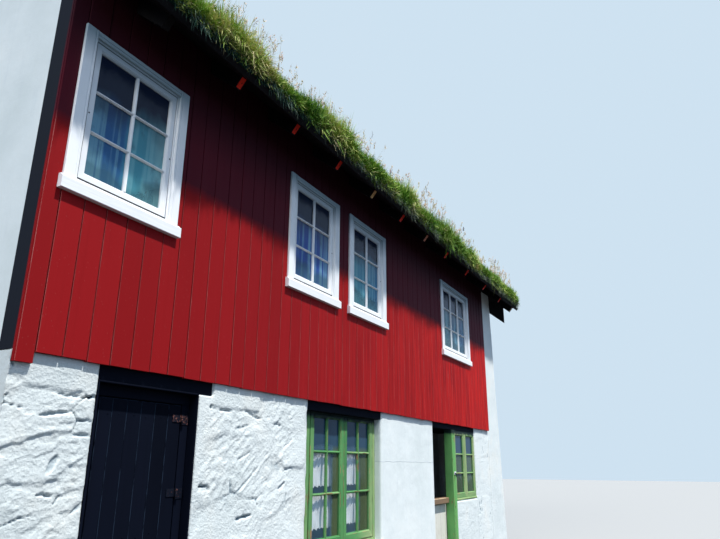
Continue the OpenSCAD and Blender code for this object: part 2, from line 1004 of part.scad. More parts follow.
// A front rafter from its square-cut end to the ridge board, notched over the wall plate
module rafter(x, notched) {
    tail_s = -tail_out / cos(pitch);
    seat_y = core_y + notch_h / slope;
    ridge_y = -ridge_t / 2;
    tail_low = on_roof(tail_s, -rafter_h);
    notch = [[core_y, under_rafter(core_y)], [core_y, plate_z], [seat_y, plate_z]];
    along_x(x - rafter_w / 2, x + rafter_w / 2, concat(
        [tail_low],
        notched ? notch : [],
        [[ridge_y, under_rafter(ridge_y)], [ridge_y, under_deck(ridge_y)]],
        [on_roof(tail_s, 0)]
    ));
}

module rafters() {
    for (x = rafter_places)
        rafter(x, true);
    rafter(fly_rafter, false);
}

module rafters_front() {
    color(black) in_place()
        rafters();
}

module rafters_back() {
    color(black) in_place() mirror([0, 1, 0])
        rafters();
}

module ridge_board() {
    top = under_deck(ridge_t / 2);
    color(bare_wood) in_place() {
        block([party_t, -ridge_t / 2, top - ridge_h], [gable_back_x, ridge_t / 2, top]);
        block([gable_face_x, -ridge_t / 2, top - ridge_h], [total_l - edge_t, ridge_t / 2, top]);
    }
}

// Roof boards, square-cut at the eave and meeting at the ridge
deck_s = -deck_out / cos(pitch);
// Inner face of the eave boards, and the level of what lies on the roof boards
eave_s = deck_s - roof_fit;
bed_t = deck_t + roof_fit;

module roof_boards() {
    along_x(0, total_l, [
        on_roof(deck_s, 0), on_roof(ridge_s(0), 0),
        on_roof(ridge_s(deck_t), deck_t), on_roof(deck_s, deck_t)
    ]);
}

module roof_boards_front() {
    color(black) in_place()
        roof_boards();
}

module roof_boards_back() {
    color(black) in_place() mirror([0, 1, 0])
        roof_boards();
}

// Eave boards, fixed across the ends of the roof boards
module eave_boards() {
    color(black) in_place() both_sides()
        along_x(0, total_l, [
            on_roof(eave_s - edge_t, 0), on_roof(eave_s, 0),
            on_roof(eave_s, eave_h), on_roof(eave_s - edge_t, eave_h)
        ]);
}

// Verge boards stand on the roof boards near their ends and hold the turf
module verge_boards() {
    top = deck_t + verge_h;
    color(black) in_place() both_sides()
        along_x(turf_end, turf_end + edge_t, [
            on_roof(deck_s, bed_t), beside_ridge(bed_t), beside_ridge(top), on_roof(deck_s, top)
        ]);
}

// Barge boards hang below the roof boards on the fly rafters, with plumb lower ends
module barge_boards() {
    end_y = front_y - barge_out;
    drop = barge_h / cos(pitch);
    color(black) in_place() both_sides()
        along_x(total_l - edge_t, total_l, [
            [end_y, under_deck(end_y) - drop], [-ridge_joint, under_deck(ridge_joint) - drop],
            [-ridge_joint, under_deck(ridge_joint)], [end_y, under_deck(end_y)]
        ]);
}

// Turf: a rounded nose over the eave board, an even bed and a rounded ridge
turf_top = deck_t + turf_t;
eave_fit = eave_h + roof_fit;
nose_r = turf_top - eave_fit;
ridge_top = on_roof(ridge_s(turf_top), turf_top)[1];

module turf() {
    nose_s = deck_s - turf_lip + nose_r;
    steps = 8;
    nose = [for (i = [0 : steps]) let (a = 180 - 90 * i / steps)
        on_roof(nose_s + nose_r * cos(a), eave_fit + nose_r * sin(a))];
    centre_z = ridge_top - ridge_r / cos(pitch);
    ridge = [for (i = [0 : steps]) let (a = 90 + pitch * (1 - i / steps))
        [ridge_r * cos(a), centre_z + ridge_r * sin(a)]];
    along_x(0, turf_end, concat(
        [on_roof(ridge_s(bed_t), bed_t), on_roof(deck_s, bed_t), on_roof(deck_s, eave_fit)],
        nose,
        ridge
    ));
}

module turf_front() {
    color(turf_green) in_place()
        turf();
}

module turf_back() {
    color(turf_green) in_place() mirror([0, 1, 0])
        turf();
}

cellar_wall_left();
rough_pier();
wall_under_green_window();
smooth_pier();
wall_under_side_window();
cellar_wall_right();
cellar_back_wall();
stone_gable();
party_wall();
door_lintel();
green_window_lintel();
doorway_lintel();
floor_beams();
upper_floor();
front_timber_wall();
back_timber_wall();
front_boards();
low_corner_board();
back_boards();
gable_frame();
gable_boards();
front_window(0);  // window_1
front_window(1);  // window_2
front_window(2);  // window_3
front_window(3);  // wide_window
back_windows();
attic_window();
upper_glass();
green_window_frame();
green_window_leaves();
green_post();
side_window();
cellar_glass();
door_lining();
cellar_door();
door_straps();
door_pintles();
half_door();
half_door_ledge();
half_door_straps();
half_door_pintles();
ceiling_beams();
attic_floor();
rafters_front();
rafters_back();
ridge_board();
roof_boards_front();
roof_boards_back();
eave_boards();
verge_boards();
barge_boards();
turf_front();
turf_back();
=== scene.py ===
import math
from itertools import product

import bpy
import bmesh
import numpy as np
from mathutils import Matrix, Vector


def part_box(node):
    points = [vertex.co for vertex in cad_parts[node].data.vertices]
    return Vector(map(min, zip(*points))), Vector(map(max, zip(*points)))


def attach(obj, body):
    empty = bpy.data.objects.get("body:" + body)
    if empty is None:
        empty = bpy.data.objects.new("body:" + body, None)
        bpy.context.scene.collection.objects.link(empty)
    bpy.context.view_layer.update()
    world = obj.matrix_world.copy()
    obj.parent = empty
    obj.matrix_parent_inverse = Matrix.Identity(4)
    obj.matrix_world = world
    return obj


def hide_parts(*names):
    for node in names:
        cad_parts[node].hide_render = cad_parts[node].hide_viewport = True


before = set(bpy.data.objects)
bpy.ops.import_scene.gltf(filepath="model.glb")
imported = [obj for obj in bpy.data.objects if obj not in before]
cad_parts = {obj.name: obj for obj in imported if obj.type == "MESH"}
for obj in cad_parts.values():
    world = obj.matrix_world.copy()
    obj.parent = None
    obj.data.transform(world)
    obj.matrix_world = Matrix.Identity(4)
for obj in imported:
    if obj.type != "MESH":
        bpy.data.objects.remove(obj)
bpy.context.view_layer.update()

# Every length is in metres. X is measured from the party line while a shape is made, and each finished piece
# is moved by SHIFT into the part's own frame.
SHIFT = np.array([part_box("party_wall")[0].x, 0, 0])


def box(node):
    low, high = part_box(node)
    return np.array(low) - SHIFT, np.array(high) - SHIFT


# Places taken from the frame
(_, FRONT, BOARD_LOW), (_, CORE, BOARD_TOP) = box("front_boards")
(DOOR_RIGHT, STONE, _), (_, STONE_IN, WALL_TOP) = box("rough_pier")
(GREEN_LEFT, GREEN_FACE, GREEN_SILL), (GREEN_RIGHT, GREEN_BACK, GREEN_HIGH) = box("green_window_frame")
(GABLE_IN, _, _), (GABLE_FOOT, _, PLATE) = box("stone_gable")
HEAD, LINTEL_END = box("door_lintel")[0][2], box("door_lintel")[1][0]
DOOR_LEFT = box("cellar_wall_left")[1][0]
DOORWAY = box("smooth_pier")[1][0]
TURF_END = box("turf_front")[1][0]
POST, SIDE, CORNER, GABLE_BOARDS = (box(n) for n in ("green_post", "side_window", "low_corner_board", "gable_boards"))
BACK = -FRONT

# Sizes of the finish
PITCH = math.radians(39)
SLOPE = math.tan(PITCH)
BOARD_W, BOARD_GAP = 0.158, 0.005
SPLAY_W = 0.140
LEAF_GAP = 0.003
CRACK_Z = 1.52
RIGHT, OUT, HIGH = (1, 0, 0), (0, 1, 0), (0, 0, 1)
UP = np.array([0, 0, 1.0])
EIGHTHS = [2 * math.pi * i / 8 for i in range(8)]


# Materials

class Value:
    """A node's output. Arithmetic on it makes further nodes."""

    def __init__(self, finish, socket):
        self.finish, self.socket = finish, socket

    def math(self, operation, other=0.0, **settings):
        return self.finish.node("Math", {0: self, 1: other}, operation=operation, **settings)

    def __add__(self, other):
        return self.math("ADD", other)

    def __sub__(self, other):
        return self.math("SUBTRACT", other)

    def __rsub__(self, other):
        return self.finish.node("Math", {0: other, 1: self}, operation="SUBTRACT")

    def __mul__(self, other):
        return self.math("MULTIPLY", other)

    def __abs__(self):
        return self.math("ABSOLUTE")

    def most(self, other, **settings):
        return self.math("MAXIMUM", other, **settings)

    def band(self, low, high):
        """0 below low and 1 above high, or the other way round where low is the larger."""
        return self.finish.node("MapRange", {"Value": self, "From Min": low, "From Max": high})

    def between(self, start, end):
        """The same band between two places along the house, measured from the party line."""
        return self.band(SHIFT[0] + start, SHIFT[0] + end)

    def ramp(self, *stops):
        made = self.finish.node("ValToRGB", {"Fac": self})
        elements = made.socket.node.color_ramp.elements
        while len(elements) < len(stops):
            elements.new(0.5)
        for element, (place, colour) in zip(elements, stops):
            element.position = place
            element.color = (*colour, 1)
        return made

    def bump(self, distance, below=None):
        """A relief of this height, on top of the relief below."""
        lower = {} if below is None else {"Normal": below}
        return self.finish.node("Bump", {"Height": self, "Strength": 1.0, "Distance": distance, **lower})


class Finish:
    """One procedural material, with short calls for its nodes."""

    def __init__(self, name, grain=False, **fixed):
        self.mat = bpy.data.materials.new(name)
        self.mat.use_nodes = True
        self.tree = self.mat.node_tree
        self.shader = self.tree.nodes["Principled BSDF"]
        for socket, value in fixed.items():
            self.shader.inputs[socket.replace("_", " ")].default_value = value
        self.coords = self.attribute("grain", "Vector") if grain else self.node("TexCoord", {}, "Object")

    def node(self, kind, inputs, output=0, **settings):
        node = self.tree.nodes.new("ShaderNode" + kind)
        for key, value in settings.items():
            setattr(node, key, value)
        for key, value in inputs.items():
            if isinstance(value, Value):
                self.tree.links.new(value.socket, node.inputs[key])
            else:
                node.inputs[key].default_value = value
        return Value(self, node.outputs[output])

    def attribute(self, name, output="Fac"):
        return self.node("Attribute", {}, output, attribute_name=name)

    def mapped(self, stretch):
        return self.node("Mapping", {"Vector": self.coords, "Scale": stretch})

    def noise(self, scale, detail=4, rough=0.55, stretch=(1, 1, 1)):
        vector = self.mapped(stretch)
        return self.node("TexNoise", {"Vector": vector, "Scale": scale, "Detail": detail, "Roughness": rough})

    def sway(self, amount, scale, detail):
        """Noise round 0, as wide as amount."""
        return (self.noise(scale, detail) - 0.5) * amount

    def cells(self, scale):
        return self.node("TexVoronoi", {"Vector": self.mapped((1, 1, 1)), "Scale": scale}, "Distance")

    def place(self, axis, of="Object"):
        return self.node("SeparateXYZ", {"Vector": self.node("TexCoord", {}, of)}, axis)

    def mix(self, share, a, b):
        a, b = (c if isinstance(c, Value) else (*c, 1) for c in (a, b))
        return self.node("Mix", {0: share, 6: a, 7: b}, 2, data_type="RGBA")

    def done(self, colour, roughness=None, normal=None, alpha=None):
        for socket, value in (("Base Color", colour), ("Roughness", roughness), ("Normal", normal), ("Alpha", alpha)):
            if value is not None:
                self.tree.links.new(value.socket, self.shader.inputs[socket])
        return self.mat


def limewash(name, smooth=False):
    """Many coats of lime on stone: white, with painted shade that greys it where it lies deep and darkens its deep
    slits and small pocks.
    """
    f = Finish(name, Roughness=0.9, Specular_IOR_Level=0.1)
    colour = f.noise(1.3, 6, 0.6).ramp((0.32, (0.67, 0.72, 0.70)), (0.5, (0.74, 0.785, 0.765)),
                                       (0.7, (0.80, 0.83, 0.80)))
    colour = f.mix(f.noise(14, 5, 0.6, (1, 1, 0.16)).band(0.56, 0.75) * 0.3, colour, (0.60, 0.65, 0.66))
    fine = f.noise(110, 8, 0.7)
    if smooth:
        # One thin level crack
        crack = abs(f.place("Z") + f.sway(0.05, 5, 3) - CRACK_Z)
        colour = f.mix(crack.band(0.006, 0.001) * 0.6, colour, (0.45, 0.50, 0.53))
        normal = crack.band(0.004, 0.0).bump(0.002, f.noise(6, 3).bump(0.006))
        return f.done(colour, normal=fine.bump(0.0018, normal))
    colour = f.mix(f.noise(2.6, 4).band(0.52, 0.72) * 0.4, colour, (0.80, 0.77, 0.68))
    # Greyer towards the party line: painted shade
    colour = f.mix(f.place("X").between(4.2, 0.6) * 0.30, colour, (0.40, 0.44, 0.43))
    # Painted shade: greyer where the wall lies deep, near black in its deep slits and in small pocks
    recess_shade_and_sod_edge = f.attribute("recess_shade_and_sod_edge")
    colour = f.mix(recess_shade_and_sod_edge.band(0.1, 0.7), colour, (0.33, 0.40, 0.43))
    pit_shade = f.cells(44).band(0.16, 0.08) * f.noise(3.5, 3).band(0.54, 0.64)
    colour = f.mix(recess_shade_and_sod_edge.band(0.7, 0.95).most(pit_shade * 0.5), colour, (0.03, 0.04, 0.05))
    normal = f.cells(52).bump(0.002, f.noise(26, 6, 0.7, (1, 1, 1.7)).bump(0.005))
    return f.done(colour, normal=fine.bump(0.0025, normal))


def painted_wood(name, colour, wear_and_painted_light, shade=0.3, wear=0.62, sheen=0.45, chips=0.0, relief=0.0016, dirt=None,
                 gloss=0.3, edge_wear_and_highlight=None, towards_gable=None, painted_eave_shade=()):
    """Painted boards with the grain along each board, tone from board to board and paint rubbed off at the edges, where
    on the door the paler colour is partly painted highlight. The paint can turn to a given colour along the front,
    towards the gable, and take darker colours of painted shade under the eaves, from one height to another."""
    f = Finish(name, grain=True, Specular_IOR_Level=gloss)
    grain = f.noise(30, 8, 0.62, (0.045, 1, 1))
    cracks = f.noise(160, 5, 0.6, (0.012, 1, 0.4))
    patch = f.noise(2.2, 5, 0.6, (0.5, 1, 1))
    low = [c * (1 - shade) for c in colour]
    high = [min(1, c * (1 + 0.6 * shade) + 0.004 * gloss) for c in colour]
    tint = (f.attribute("tone") * 0.55 + patch * 0.45).ramp((0.25, low), (0.5, colour), (0.8, high))
    if towards_gable:
        far = (f.place("X") + patch).between(3.0, 9.5)
        tint = f.mix(far * grain.band(0.62, 0.42), tint, towards_gable)
    tint = f.mix(grain.band(0.5, 0.72) * 0.35, tint, low)
    if dirt:
        tint = f.mix(f.noise(5, 6, 0.7).band(0.52, 0.72) * 0.5, tint, dirt)
    # Bare spots and rubbed edges; on the door's boards the paler edges are partly painted highlight
    spots = f.noise(55, 4, 0.65, (0.35, 1, 1)).band(wear + 0.1, wear + 0.16)
    bare = edge_wear_and_highlight or wear
    edge = f.attribute("edge") * f.noise(20, 5, 0.7, (0.3, 1, 1)).band(bare - 0.12, bare)
    gone = spots.most(edge).most(f.cells(34).band(0.085, 0.05) * chips, use_clamp=True)
    tint = f.mix(gone, tint, wear_and_painted_light)
    # Painted shade under the eaves: on the outer faces of the long walls the paint darkens from one height up
    if painted_eave_shade:
        under = abs(f.place("Y")).band(-FRONT - 0.20, -FRONT - 0.10)
        level = f.place("Z") + (grain - 0.5) * 0.06
        for dark, start, end in painted_eave_shade:
            tint = f.mix(under * level.band(start, end), tint, dark)
    normal = (1 - gone).bump(0.0006, cracks.bump(relief * 0.5, grain.bump(relief)))
    return f.done(tint, grain * 0.3 + gone * 0.3 + (sheen - 0.15), normal)


def green_finish(name):
    """Old green paint: paler yellow on some fronts, partly bleached paint and partly painted highlight, deeper at the
    sides, partly painted shade, with rust marks and chipped brown wood.
    """
    f = Finish(name, grain=True, Specular_IOR_Level=0.15)
    grain = f.noise(34, 8, 0.65, (0.04, 1, 1))
    patch = f.noise(3.5, 6, 0.65, (0.4, 1, 1))
    deep = patch.ramp((0.35, (0.055, 0.20, 0.065)), (0.65, (0.115, 0.31, 0.105)))
    pale = patch.ramp((0.3, (0.16, 0.32, 0.12)), (0.5, (0.26, 0.38, 0.16)), (0.75, (0.42, 0.48, 0.24)))
    # Painted light, together with bleached paint: faces that look out to the street are paler than the sides; the right
    # leaf is paler and the middle stile deeper
    front = (f.place("Y", "Normal") * -1).band(0.35, 0.8)
    along = f.place("X")
    middle = (GREEN_LEFT + GREEN_RIGHT) / 2 + SHIFT[0]
    post = (POST[0][0] + POST[1][0]) / 2 + SHIFT[0]
    right = along.band(middle + 0.2, GREEN_RIGHT - 0.1 + SHIFT[0])
    share = f.attribute("tone") * 0.55 + right * 0.6 - abs(along - middle).band(0.08, 0.05) * 0.7
    tint = f.mix(front * share.band(0.3, 0.8), deep, pale)
    # Painted highlight: the post is a lighter green all round, for the light that falls on its left face
    tint = f.mix(abs(along - post).band(0.09, 0.08) * patch.band(0.2, 0.5), tint, (0.15, 0.40, 0.12))
    cracks = f.noise(120, 4, 0.6, (0.01, 1, 0.5)).band(0.6, 0.68)
    tint = f.mix(cracks * 0.4, tint, (0.07, 0.11, 0.05))
    edge = f.attribute("edge") * f.noise(24, 4, 0.7, (0.2, 1, 1)).band(0.52, 0.58)
    gone = f.noise(14, 6, 0.7, (0.22, 1, 1)).band(0.62, 0.66).most(edge, use_clamp=True)
    wood = f.noise(40, 4, 0.6, (0.1, 1, 1)).ramp((0.35, (0.09, 0.035, 0.015)), (0.65, (0.40, 0.27, 0.14)))
    tint = f.mix(gone, tint, wood)
    # Painted shade under the lintels darkens the tops of the frames and leaves
    level = f.place("Z") + f.sway(0.10, 9, 4)
    tint = f.mix(level.band(GREEN_HIGH - 0.070, GREEN_HIGH - 0.035) * 0.95, tint, (0.008, 0.018, 0.024))
    relief = (1 - gone).bump(0.0012, cracks.bump(-0.0012, grain.bump(0.002)))
    return f.done(tint, patch * 0.3 + 0.55, relief)


def rust(name):
    """Iron under old black paint, with pink-brown flakes where it rusts."""
    f = Finish(name, Specular_IOR_Level=0.1)
    patch = f.noise(75, 6, 0.7) + f.place("Z").band(1.2, 1.8) * 0.09
    tint = patch.ramp((0.62, (0.006, 0.008, 0.015)), (0.66, (0.09, 0.035, 0.03)), (0.73, (0.40, 0.18, 0.14)))
    return f.done(tint, patch.band(0.0, 1.3), f.noise(110, 6, 0.7).bump(0.004))


def sawn_wood(name, stretch, joint=None, dark=1.0):
    """Plain sawn timber on the frame's own nodes. stretch is small along the grain; joint is a board's width and the
    axis across the boards."""
    f = Finish(name, Roughness=0.8, Specular_IOR_Level=0.2)
    grain = f.noise(22, 8, 0.6, stretch)
    colours = ((0.3, (0.19, 0.115, 0.055)), (0.5, (0.36, 0.24, 0.13)), (0.72, (0.50, 0.36, 0.21)))
    tint = grain.ramp(*[(place, [c * dark for c in colour]) for place, colour in colours])
    normal = grain.bump(0.002)
    if joint:
        width, axis = joint
        line = abs(f.place(axis).math("DIVIDE", width).math("FRACT") - 0.5).band(0.475, 0.495)
        tint = f.mix(line, tint, (0.02, 0.014, 0.01))
        normal = line.bump(-0.004, normal)
        # It is darker at its end by the party line
        tint = f.mix(f.place("X").between(0.012, 0.006), tint, (0.006, 0.008, 0.014))
    return f.done(tint, normal=normal)


def tar(name):
    """Tarred boards, nearly black, with a little grain."""
    f = Finish(name, Specular_IOR_Level=0.12)
    grain = f.noise(26, 8, 0.62, (0.08, 1, 1))
    tint = grain.ramp((0.35, (0.004, 0.004, 0.005)), (0.6, (0.009, 0.008, 0.009)), (0.8, (0.026, 0.023, 0.022)))
    return f.done(tint, grain.band(-0.9, 1.1), grain.bump(0.0025))


def glass(name, low, high, dark, tints, foot=0.0, fold=0.0):
    """Window glass with a painted reflection of the sky in it, darkened towards the top by painted shade of the eave,
    and darker below foot. tints are places along the house with the reflection's colour and how dense it is there; fold
    is how far painted reflections of curtain folds show in it."""
    f = Finish(name, Roughness=0.08, Specular_IOR_Level=0.14)
    level = f.place("Z") + f.sway(1.2 * (high - low), 2.5, 3)
    height = level.band(low, high)
    start, end = tints[0][0], tints[-1][0]
    place = (f.place("X") + f.sway(0.10, 4, 3)).between(start, end)
    stops = [((x - start) / (end - start), tint, share) for x, tint, share in tints]
    painted_reflection = place.ramp(*[(p, tint) for p, tint, _ in stops])
    dense = place.ramp(*[(p, (share, share, share)) for p, _, share in stops])
    # Painted reflection: bright and dark streaks that paint curtain folds into the glass
    if fold:
        painted_reflection = f.mix(f.noise(20, 3, 0.6, (1, 1, 0.03)).band(0.46, 0.60) * fold, painted_reflection, (0.40, 0.78, 0.80))
        painted_reflection = f.mix(f.noise(9, 4, 0.6, (1, 1, 0.6)).band(0.54, 0.66) * 0.35, painted_reflection, (0.03, 0.07, 0.10))
        painted_reflection = f.mix(level.band(foot + 0.04, foot - 0.04) * 0.7, painted_reflection, (0.03, 0.08, 0.10))
    alpha = dense.math("ADD", height * 0.8, use_clamp=True)
    return f.done(f.mix(height, painted_reflection, dark), alpha=alpha, normal=f.noise(5, 2).bump(0.003))


def cloth(name, colour, holes=0.0):
    """Thin woven cloth. holes is how open its lace is."""
    f = Finish(name, Roughness=0.9, Specular_IOR_Level=0.1)
    weave = f.noise(240, 2) * f.noise(300, 2)
    tint = f.mix(f.noise(12, 4, 0.6, (1, 1, 0.2)).band(0.45, 0.7) * 0.3, colour, [c * 0.7 for c in colour])
    alpha = 1 - f.cells(120).band(0.30, 0.22) * holes if holes else None
    return f.done(tint, normal=weave.bump(0.001), alpha=alpha)


def soil(name):
    """The sods' own surface: moss and short growth on top, grey roots and earth at their edges."""
    f = Finish(name, Roughness=0.95, Specular_IOR_Level=0.1)
    tuft = f.noise(38, 8, 0.75)
    green = tuft.ramp((0.32, (0.008, 0.02, 0.006)), (0.5, (0.04, 0.08, 0.018)), (0.66, (0.13, 0.17, 0.04)),
                      (0.85, (0.28, 0.26, 0.11)))
    strands = f.noise(60, 8, 0.75, (1, 1, 0.5))
    near = strands.ramp((0.38, (0.003, 0.012, 0.012)), (0.58, (0.012, 0.05, 0.042)), (0.75, (0.06, 0.12, 0.08)))
    far = strands.ramp((0.36, (0.02, 0.03, 0.024)), (0.52, (0.12, 0.16, 0.12)), (0.7, (0.32, 0.36, 0.26)))
    roots = f.mix(f.place("X").between(1.8, 3.4), near, far)
    edge = f.attribute("recess_shade_and_sod_edge") + f.sway(0.8, 9, 4)
    return f.done(f.mix(edge.band(0.3, 0.7), green, roots), normal=tuft.bump(0.02))


def blade_finish(name, base, *stops):
    """Grass: each blade has its own tone, and it is darker at its foot."""
    f = Finish(name, Roughness=0.6, Specular_IOR_Level=0.15)
    tint = f.attribute("tone").ramp(*stops)
    return f.done(f.mix(f.attribute("edge").band(0.55, 0.05), tint, base))


def sky_glass():
    """The white windows' panes, with a painted reflection of the sky, window by window from the party line."""
    deep, blue, teal = (0.04, 0.13, 0.36), (0.07, 0.28, 0.48), (0.11, 0.42, 0.50)
    pale, night = (0.30, 0.60, 0.62), (0.03, 0.085, 0.34)
    return glass("sky_glass", 3.48, 3.80, (0.010, 0.016, 0.035), [
        (0.2, (0.035, 0.12, 0.31), 0.80), (0.52, (0.04, 0.15, 0.33), 0.80), (0.57, teal, 0.68), (0.72, teal, 0.65),
        (0.82, pale, 0.65), (1.10, pale, 0.65), (2.5, night, 0.88), (2.9, night, 0.88), (3.15, night, 0.85),
        (3.28, teal, 0.7), (3.7, teal, 0.65), (4.3, blue, 0.6), (4.5, teal, 0.6), (6.5, (0.16, 0.34, 0.36), 0.55),
        (7.6, deep, 0.6)], 3.27, 0.4)


def cellar_glass():
    """The green windows' panes, nearly clear with a thin bluish painted reflection in some places and with an olive
    painted reflection in others.
    """
    olive, clear = (0.075, 0.105, 0.050), (0.13, 0.24, 0.34)
    return glass("cellar_glass", 1.61, 1.67, (0.022, 0.055, 0.090), [
        (3.10, clear, 0.15), (3.47, clear, 0.15), (3.51, olive, 0.8), (3.62, olive, 0.9), (3.74, clear, 0.15),
        (4.02, clear, 0.15), (4.08, olive, 0.7), (4.25, olive, 0.9), (6.9, (0.06, 0.09, 0.05), 0.8),
        (7.7, (0.09, 0.14, 0.09), 0.8)])


BLACK = {"colour": (0.0038, 0.0054, 0.0118), "shade": 0.3, "wear": 0.66, "sheen": 0.65, "chips": 0.12,
         "relief": 0.0010, "gloss": 0.03}
MATERIALS = {
    "limewash": limewash("rough_limewash"),
    "smooth": limewash("smooth_limewash", smooth=True),
    # Painted shade under the eaves darkens the red paint
    "red": painted_wood("red_paint", (0.265, 0.0072, 0.0088), (0.45, 0.20, 0.18), shade=0.1, wear=0.74, sheen=0.6,
                        chips=0.3, relief=0.0012, gloss=0.06, edge_wear_and_highlight=0.60, towards_gable=(0.60, 0.0110, 0.0050),
                        painted_eave_shade=(((0.085, 0.0080, 0.0160), 3.37, 3.46), ((0.040, 0.0070, 0.0120), 3.75, 4.10))),
    "black": painted_wood("black_paint", wear_and_painted_light=(0.02, 0.028, 0.045), edge_wear_and_highlight=0.80, **BLACK),
    # The door's board edges rub through to a paler blue: partly wear, partly painted highlight
    "door_black": painted_wood("door_paint", wear_and_painted_light=(0.020, 0.032, 0.054), edge_wear_and_highlight=0.52, **BLACK),
    # Painted shade under the eaves darkens the white paint's tops
    "white": painted_wood("white_paint", (0.85, 0.86, 0.86), (0.42, 0.46, 0.48), shade=0.04, wear=0.76, sheen=0.5,
                          dirt=(0.72, 0.76, 0.78), gloss=0.2, painted_eave_shade=(((0.26, 0.34, 0.38), 3.85, 4.08),)),
    "cream": painted_wood("cream_paint", (0.74, 0.71, 0.62), (0.45, 0.38, 0.27), shade=0.1, wear=0.66, sheen=0.5,
                          dirt=(0.58, 0.54, 0.44)),
    "brown": painted_wood("brown_wood", (0.30, 0.19, 0.11), (0.60, 0.46, 0.30), shade=0.4, wear=0.56, sheen=0.5),
    "orange": painted_wood("orange_paint", (0.80, 0.035, 0.016), (0.60, 0.20, 0.12), shade=0.1, wear=0.70, gloss=0.1),
    "ochre": painted_wood("ochre_paint", (0.66, 0.40, 0.16), (0.5, 0.38, 0.25), shade=0.25, wear=0.6),
    "salmon": painted_wood("salmon_paint", (0.75, 0.30, 0.19), (0.5, 0.38, 0.25), shade=0.25, wear=0.6),
    "pale_end": painted_wood("pale_end_wood", (0.60, 0.45, 0.30), (0.8, 0.72, 0.6), shade=0.3, wear=0.5),
    "green": green_finish("green_paint"),
    "rust": rust("rusty_iron"),
    "tar": tar("tar"),
    "beam": sawn_wood("sawn_beam", (1, 0.06, 1)),
    "lining": sawn_wood("sawn_lining", (1, 1, 0.06), (0.16, "X"), 0.55),
    "floor": sawn_wood("sawn_floor", (0.06, 1, 1), (0.14, "Y")),
    "curtain": cloth("white_cloth", (0.88, 0.90, 0.88)),
    "teal": cloth("teal_lace", (0.42, 0.66, 0.70), holes=0.3),
    "lace": cloth("white_lace", (0.80, 0.86, 0.88), holes=0.8),
    "soil": soil("sods"),
    "grass": blade_finish("grass", (0.018, 0.036, 0.010), (0.0, (0.025, 0.08, 0.015)), (0.25, (0.085, 0.22, 0.025)),
                          (0.5, (0.24, 0.42, 0.05)), (0.72, (0.46, 0.52, 0.13)), (0.9, (0.68, 0.58, 0.30))),
    "dry": blade_finish("dry_grass", (0.22, 0.24, 0.10), (0.0, (0.60, 0.50, 0.32)), (0.5, (0.70, 0.48, 0.36)),
                        (1.0, (0.60, 0.32, 0.30))),
    "roots": blade_finish("roots", (0.03, 0.05, 0.04), (0.0, (0.006, 0.024, 0.022)), (0.42, (0.03, 0.09, 0.06)),
                          (0.55, (0.14, 0.19, 0.13)), (1.0, (0.40, 0.43, 0.30))),
    "stalks": blade_finish("dark_stalks", (0.03, 0.03, 0.02), (0.0, (0.04, 0.015, 0.03)), (1.0, (0.12, 0.06, 0.06))),
    "sky_glass": sky_glass(),
    "cellar_glass": cellar_glass(),
}
# The record's slot for each material; nothing in this script hands these slots to the pieces
SLOTS = {"limewash": "whitewashed_rubble", "smooth": "smooth_whitewash", "red": "red_boards", "green": "green_paint",
         "cream": "cream_paint", "brown": "brown_timber", "rust": "rusty_iron",
         **dict.fromkeys(("black", "door_black"), "black_timber"),
         **dict.fromkeys(("white", "curtain", "teal", "lace"), "white_paint"),
         **dict.fromkeys(("orange", "ochre", "salmon", "pale_end", "tar"), "tarred_timber"),
         **dict.fromkeys(("soil", "grass", "dry", "roots", "stalks"), "turf")}


# Meshes

def wall_place(origin, right, out):
    """A place on a wall: right runs along it, out leads away from it, and up is up."""
    return np.array(origin, float), np.array(right, float), np.array(out, float)


def front_at(y):
    return wall_place((0, y, 0), RIGHT, (0, -1, 0))


def on_wall(place, u, v, z):
    origin, right, away = place
    return origin + u * right + v * away + z * UP


def make_mesh(name, points, faces):
    mesh = bpy.data.meshes.new(name)
    mesh.from_pydata((np.asarray(points).reshape(-1, 3) + SHIFT).tolist(), [], faces)
    return mesh


def give_values(mesh, name, numbers, kind="FLOAT", domain="POINT"):
    """Numbers on a mesh's points or faces, for its finish to read."""
    field = "value" if kind == "FLOAT" else "vector"
    mesh.attributes.new(name, kind, domain).data.foreach_set(field, np.asarray(numbers, np.float32).ravel())


def quads(grid):
    return np.stack([grid[:-1, :-1], grid[:-1, 1:], grid[1:, 1:], grid[1:, :-1]], -1).reshape(-1, 4)


def closed(grid):
    """A grid of points whose rows are closed to rings."""
    return np.concatenate([grid, grid[:, :1]], 1)


def ring_faces(n, count):
    """Faces between rings of n points."""
    return [[k * n + i, k * n + (i + 1) % n, (k + 1) * n + (i + 1) % n, (k + 1) * n + i]
            for k in range(count) for i in range(n)]


def new_object(name, data):
    made = bpy.data.objects.new(name, data)
    bpy.context.scene.collection.objects.link(made)
    return made


def dress(mesh, name, material, replaces=(), body="house", smooth=False):
    """Makes a piece of a mesh: its finish, its body and the nodes that it stands for."""
    mesh.polygons.foreach_set("use_smooth", [smooth] * len(mesh.polygons))
    mesh.materials.append(MATERIALS[material])
    mesh.update()
    piece = new_object(name, mesh)
    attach(piece, body)
    if replaces:
        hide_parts(*replaces)
    return piece


